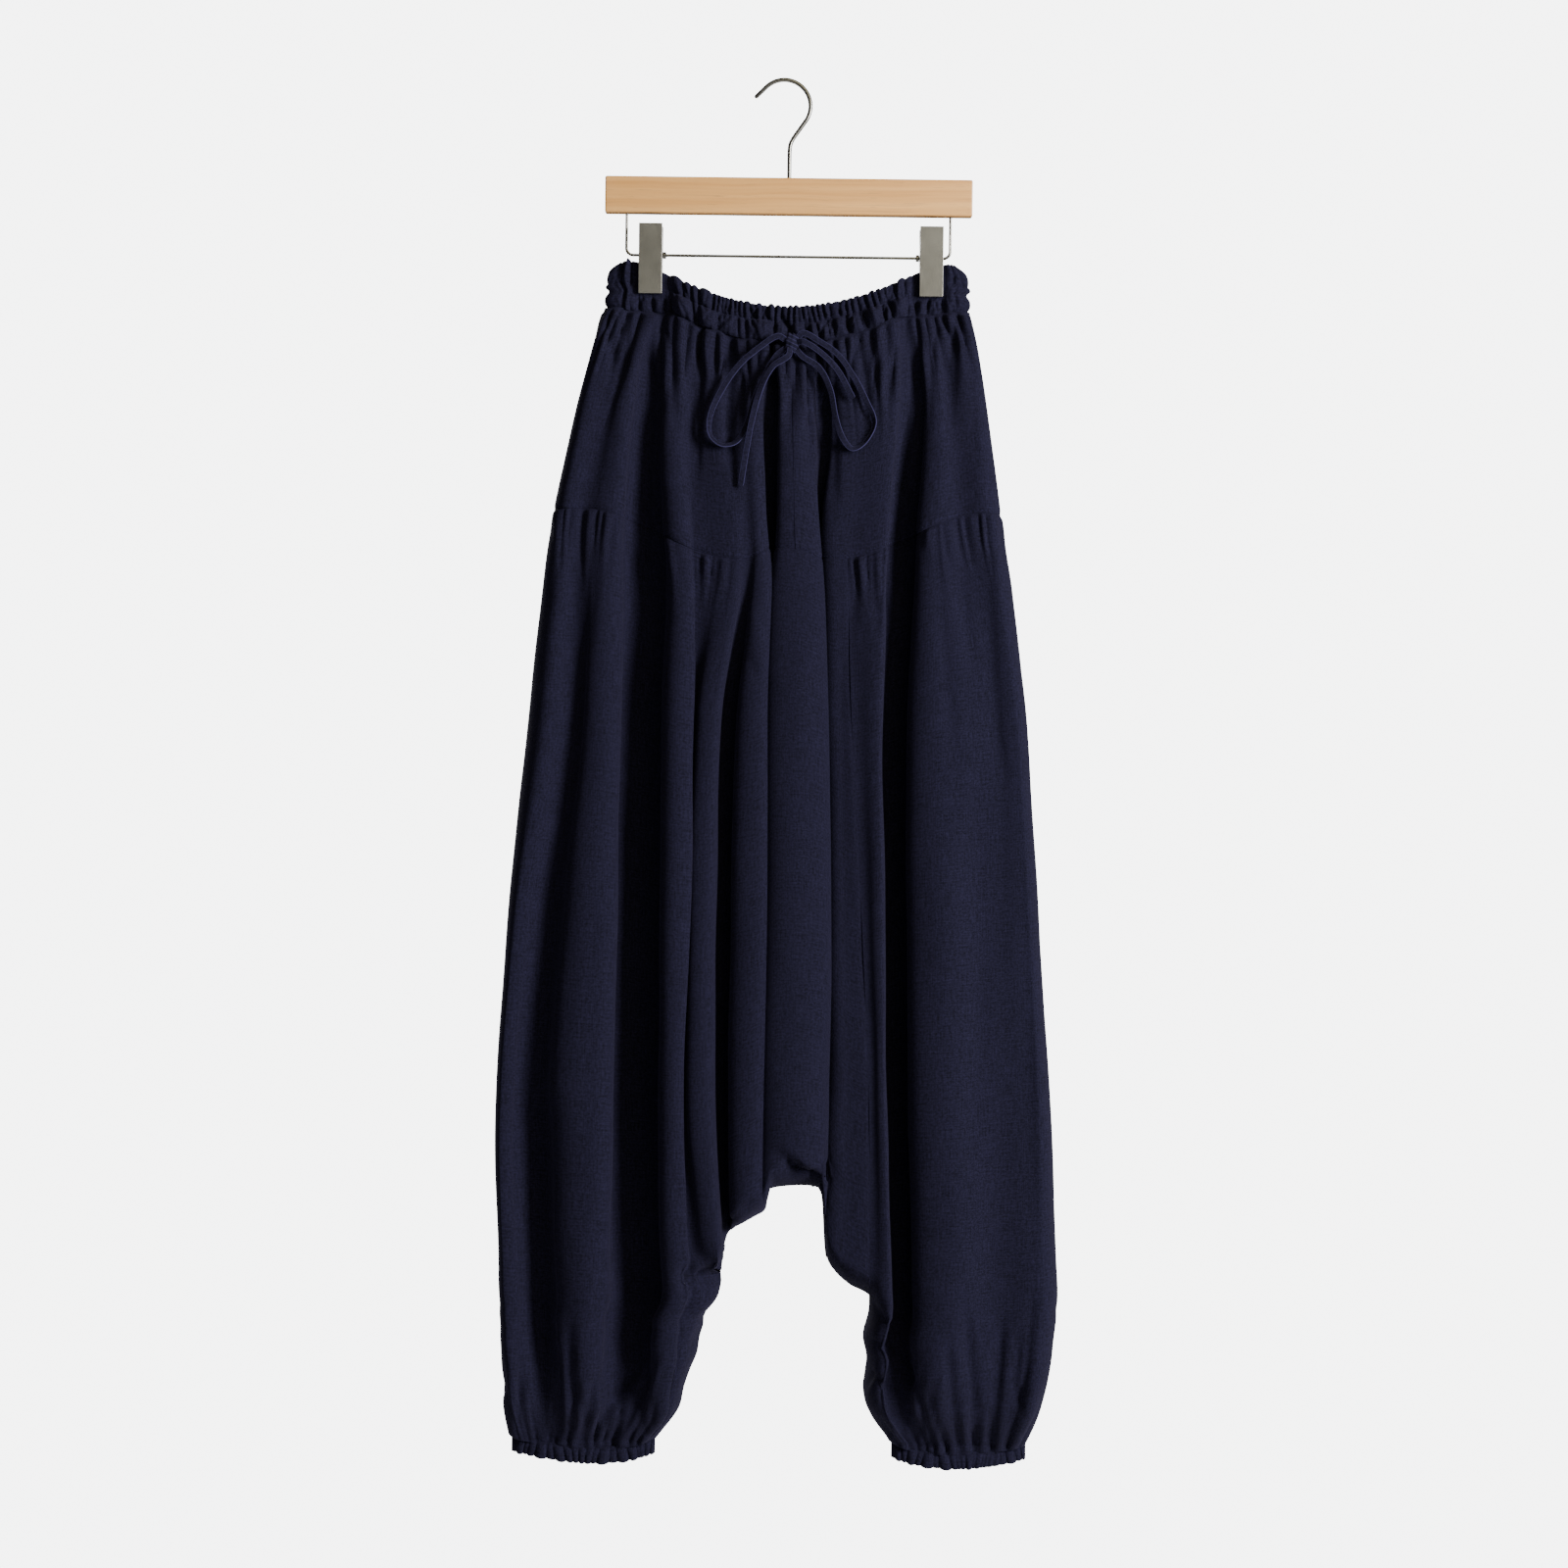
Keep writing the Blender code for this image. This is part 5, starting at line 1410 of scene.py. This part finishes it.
def clipJaw(side, layer):
    # One pressed steel jaw: a face with two ears and turned ends, open towards the other jaw
    half, length, top = clipShape["jawHalf"], clipShape["length"], clipShape["top"]
    outline = ((9.0, 0.0), (1.8, 19.0), (1.8, 28.5), (half, 31.5), (half, length), (9.6, length), (12.6, 0.0))
    sign = towards[layer]
    left = clips[side] - clipShape["width"] / 2
    bm = bmesh.new()
    ring = [bm.verts.new(inFrame(left, sign * y, top + drop)) for y, drop in outline]
    cap = bm.faces.new(ring)
    swept = bmesh.ops.extrude_face_region(bm, geom=[cap], use_keep_orig=True)
    moved = [item for item in swept["geom"] if isinstance(item, bmesh.types.BMVert)]
    bmesh.ops.translate(bm, vec=Vector((clipShape["width"] * mm, 0, 0)), verts=moved)
    bmesh.ops.recalc_face_normals(bm, faces=bm.faces)
    bm.faces.ensure_lookup_table()
    innerSide = [f for f in bm.faces if f.normal.y * sign < -0.2 and len(f.verts) == 4]
    bmesh.ops.delete(bm, geom=innerSide, context="FACES")
    name = f"clip{side.title()}{layer.title()}Jaw"
    piece = finishPiece(name, meshOf(name, bm), satinSteel)
    steel = piece.modifiers.new("steel", "SOLIDIFY")
    steel.thickness = clipShape["steel"] * mm
    steel.offset = -1
    edge = piece.modifiers.new("edge", "BEVEL")
    edge.width = clipShape["edge"] * mm
    edge.segments = 3
    edge.harden_normals = True
    return piece


def clipSpring(side):
    inward = clipShape["width"] / 2 - clipShape["steel"] - clipShape["springEase"]
    steps, radius = clipShape["springSteps"], clipShape["springRadius"]
    count = clipShape["springTurns"] * steps
    points = []
    for i in range(count + 1):
        angle = math.tau * i / steps
        x = clips[side] - inward + 2 * inward * i / count
        points.append((x, radius * math.sin(angle), hanger["rodDrop"] - radius * math.cos(angle)))
    return wirePiece(f"clip{side.title()}Spring", points, clipShape["springWire"])


def clipCollar(side):
    inward = -1 if clips[side] > 0 else 1
    roundRod, besideClip = clipShape["collarEase"]
    start = inward * (clipShape["width"] / 2 + besideClip)
    low, high = sorted((start, start + inward * clipShape["collarWidth"]))
    bore, rim = hanger["frameWire"] + roundRod, clipShape["collarRadius"]
    ease = clipShape["collarEdge"]
    outside = ((rim - ease, high), (rim, high - ease), (rim, low + ease), (rim - ease, low))
    profile = ((bore, low), (bore, high), *outside)
    bm = bmesh.new()
    ring = [bm.verts.new((x * mm, 0, radius * mm)) for radius, x in profile]
    face = bm.faces.new(ring)
    edges = list(face.edges)
    bmesh.ops.spin(bm, geom=edges, cent=(0, 0, 0), axis=(1, 0, 0), angle=math.tau, steps=40, use_merge=True)
    bmesh.ops.delete(bm, geom=[face], context="FACES_ONLY")
    bmesh.ops.remove_doubles(bm, verts=bm.verts, dist=1e-6)
    bmesh.ops.recalc_face_normals(bm, faces=bm.faces)
    bmesh.ops.translate(bm, vec=Vector(inFrame(clips[side], 0.0, hanger["rodDrop"])), verts=bm.verts)
    name = f"clip{side.title()}Collar"
    mesh = meshOf(name, bm)
    mesh.shade_smooth()
    mesh.set_sharp_from_angle(angle=math.radians(35))
    return finishPiece(name, mesh, wireSteel)


print("hanger")
hangerBar()
hangerHook()
hangerFrame()
for side in clips:
    for layer in towards:
        clipJaw(side, layer)
    clipSpring(side)
    clipCollar(side)


# Studio: a plain pale floor well below, soft light from the right and above, and a pale surround
studio = {
    "floorDrop": 2300.0,
    "floorSize": 3.2,
    "floorColour": (0.78, 0.78, 0.77, 1),
    "floorRoughness": 0.8,
    "surround": (0.93, 0.935, 0.94, 1),
    "shownStrength": 6.5,  # as the camera sees it
    "lightStrength": 0.13,  # as it lights the garment
}
lamps = {
    "key": {"at": (2.1, -1.85, 0.05), "size": (0.7, 1.3), "watts": 146.0, "colour": (1, 1, 1)},
    "fill": {"at": (0.9, -2.9, 1.5), "size": (1.8, 1.8), "watts": 23.0, "colour": (1.0, 0.92, 0.55)},
    "behind": {"at": (-0.6, 2.4, 0.6), "size": (1.8, 1.2), "watts": 60.0, "colour": (1, 1, 1)},
}
lampsFace = Vector((0.0, 0.0, -0.6))


def makeFloor():
    bm = bmesh.new()
    bmesh.ops.create_circle(bm, cap_ends=True, segments=96, radius=studio["floorSize"])
    mesh = meshOf("floor", bm)
    floor = placed("floor", mesh)
    floor.location = (0, 0, -studio["floorDrop"] * mm)
    made, tree, shader = newMaterial("floorPaint")
    setInputs(tree, shader, {"Base Color": studio["floorColour"], "Roughness": studio["floorRoughness"]})
    mesh.materials.append(made)


def makeLamp(name):
    lamp = lamps[name]
    data = bpy.data.lights.new(name, "AREA")
    data.shape = "RECTANGLE"
    data.size, data.size_y = lamp["size"]
    data.energy, data.color = lamp["watts"], lamp["colour"]
    made = placed(name, data)
    made.location = lamp["at"]
    made.rotation_euler = (lampsFace - made.location).to_track_quat("-Z", "Y").to_euler()


print("studio")
makeFloor()
for lampName in lamps:
    makeLamp(lampName)
world = bpy.data.worlds.new("surround")
world.use_nodes = True
sky = world.node_tree.nodes["Background"]
sky.inputs["Color"].default_value = studio["surround"]
seen = addNode(world.node_tree, "ShaderNodeLightPath", {})
spread = studio["shownStrength"] - studio["lightStrength"]
shown = mathNode(world.node_tree, "MULTIPLY", seen.outputs["Is Camera Ray"], spread)
shown = mathNode(world.node_tree, "ADD", shown, studio["lightStrength"])
world.node_tree.links.new(shown, sky.inputs["Strength"])
bpy.context.scene.world = world
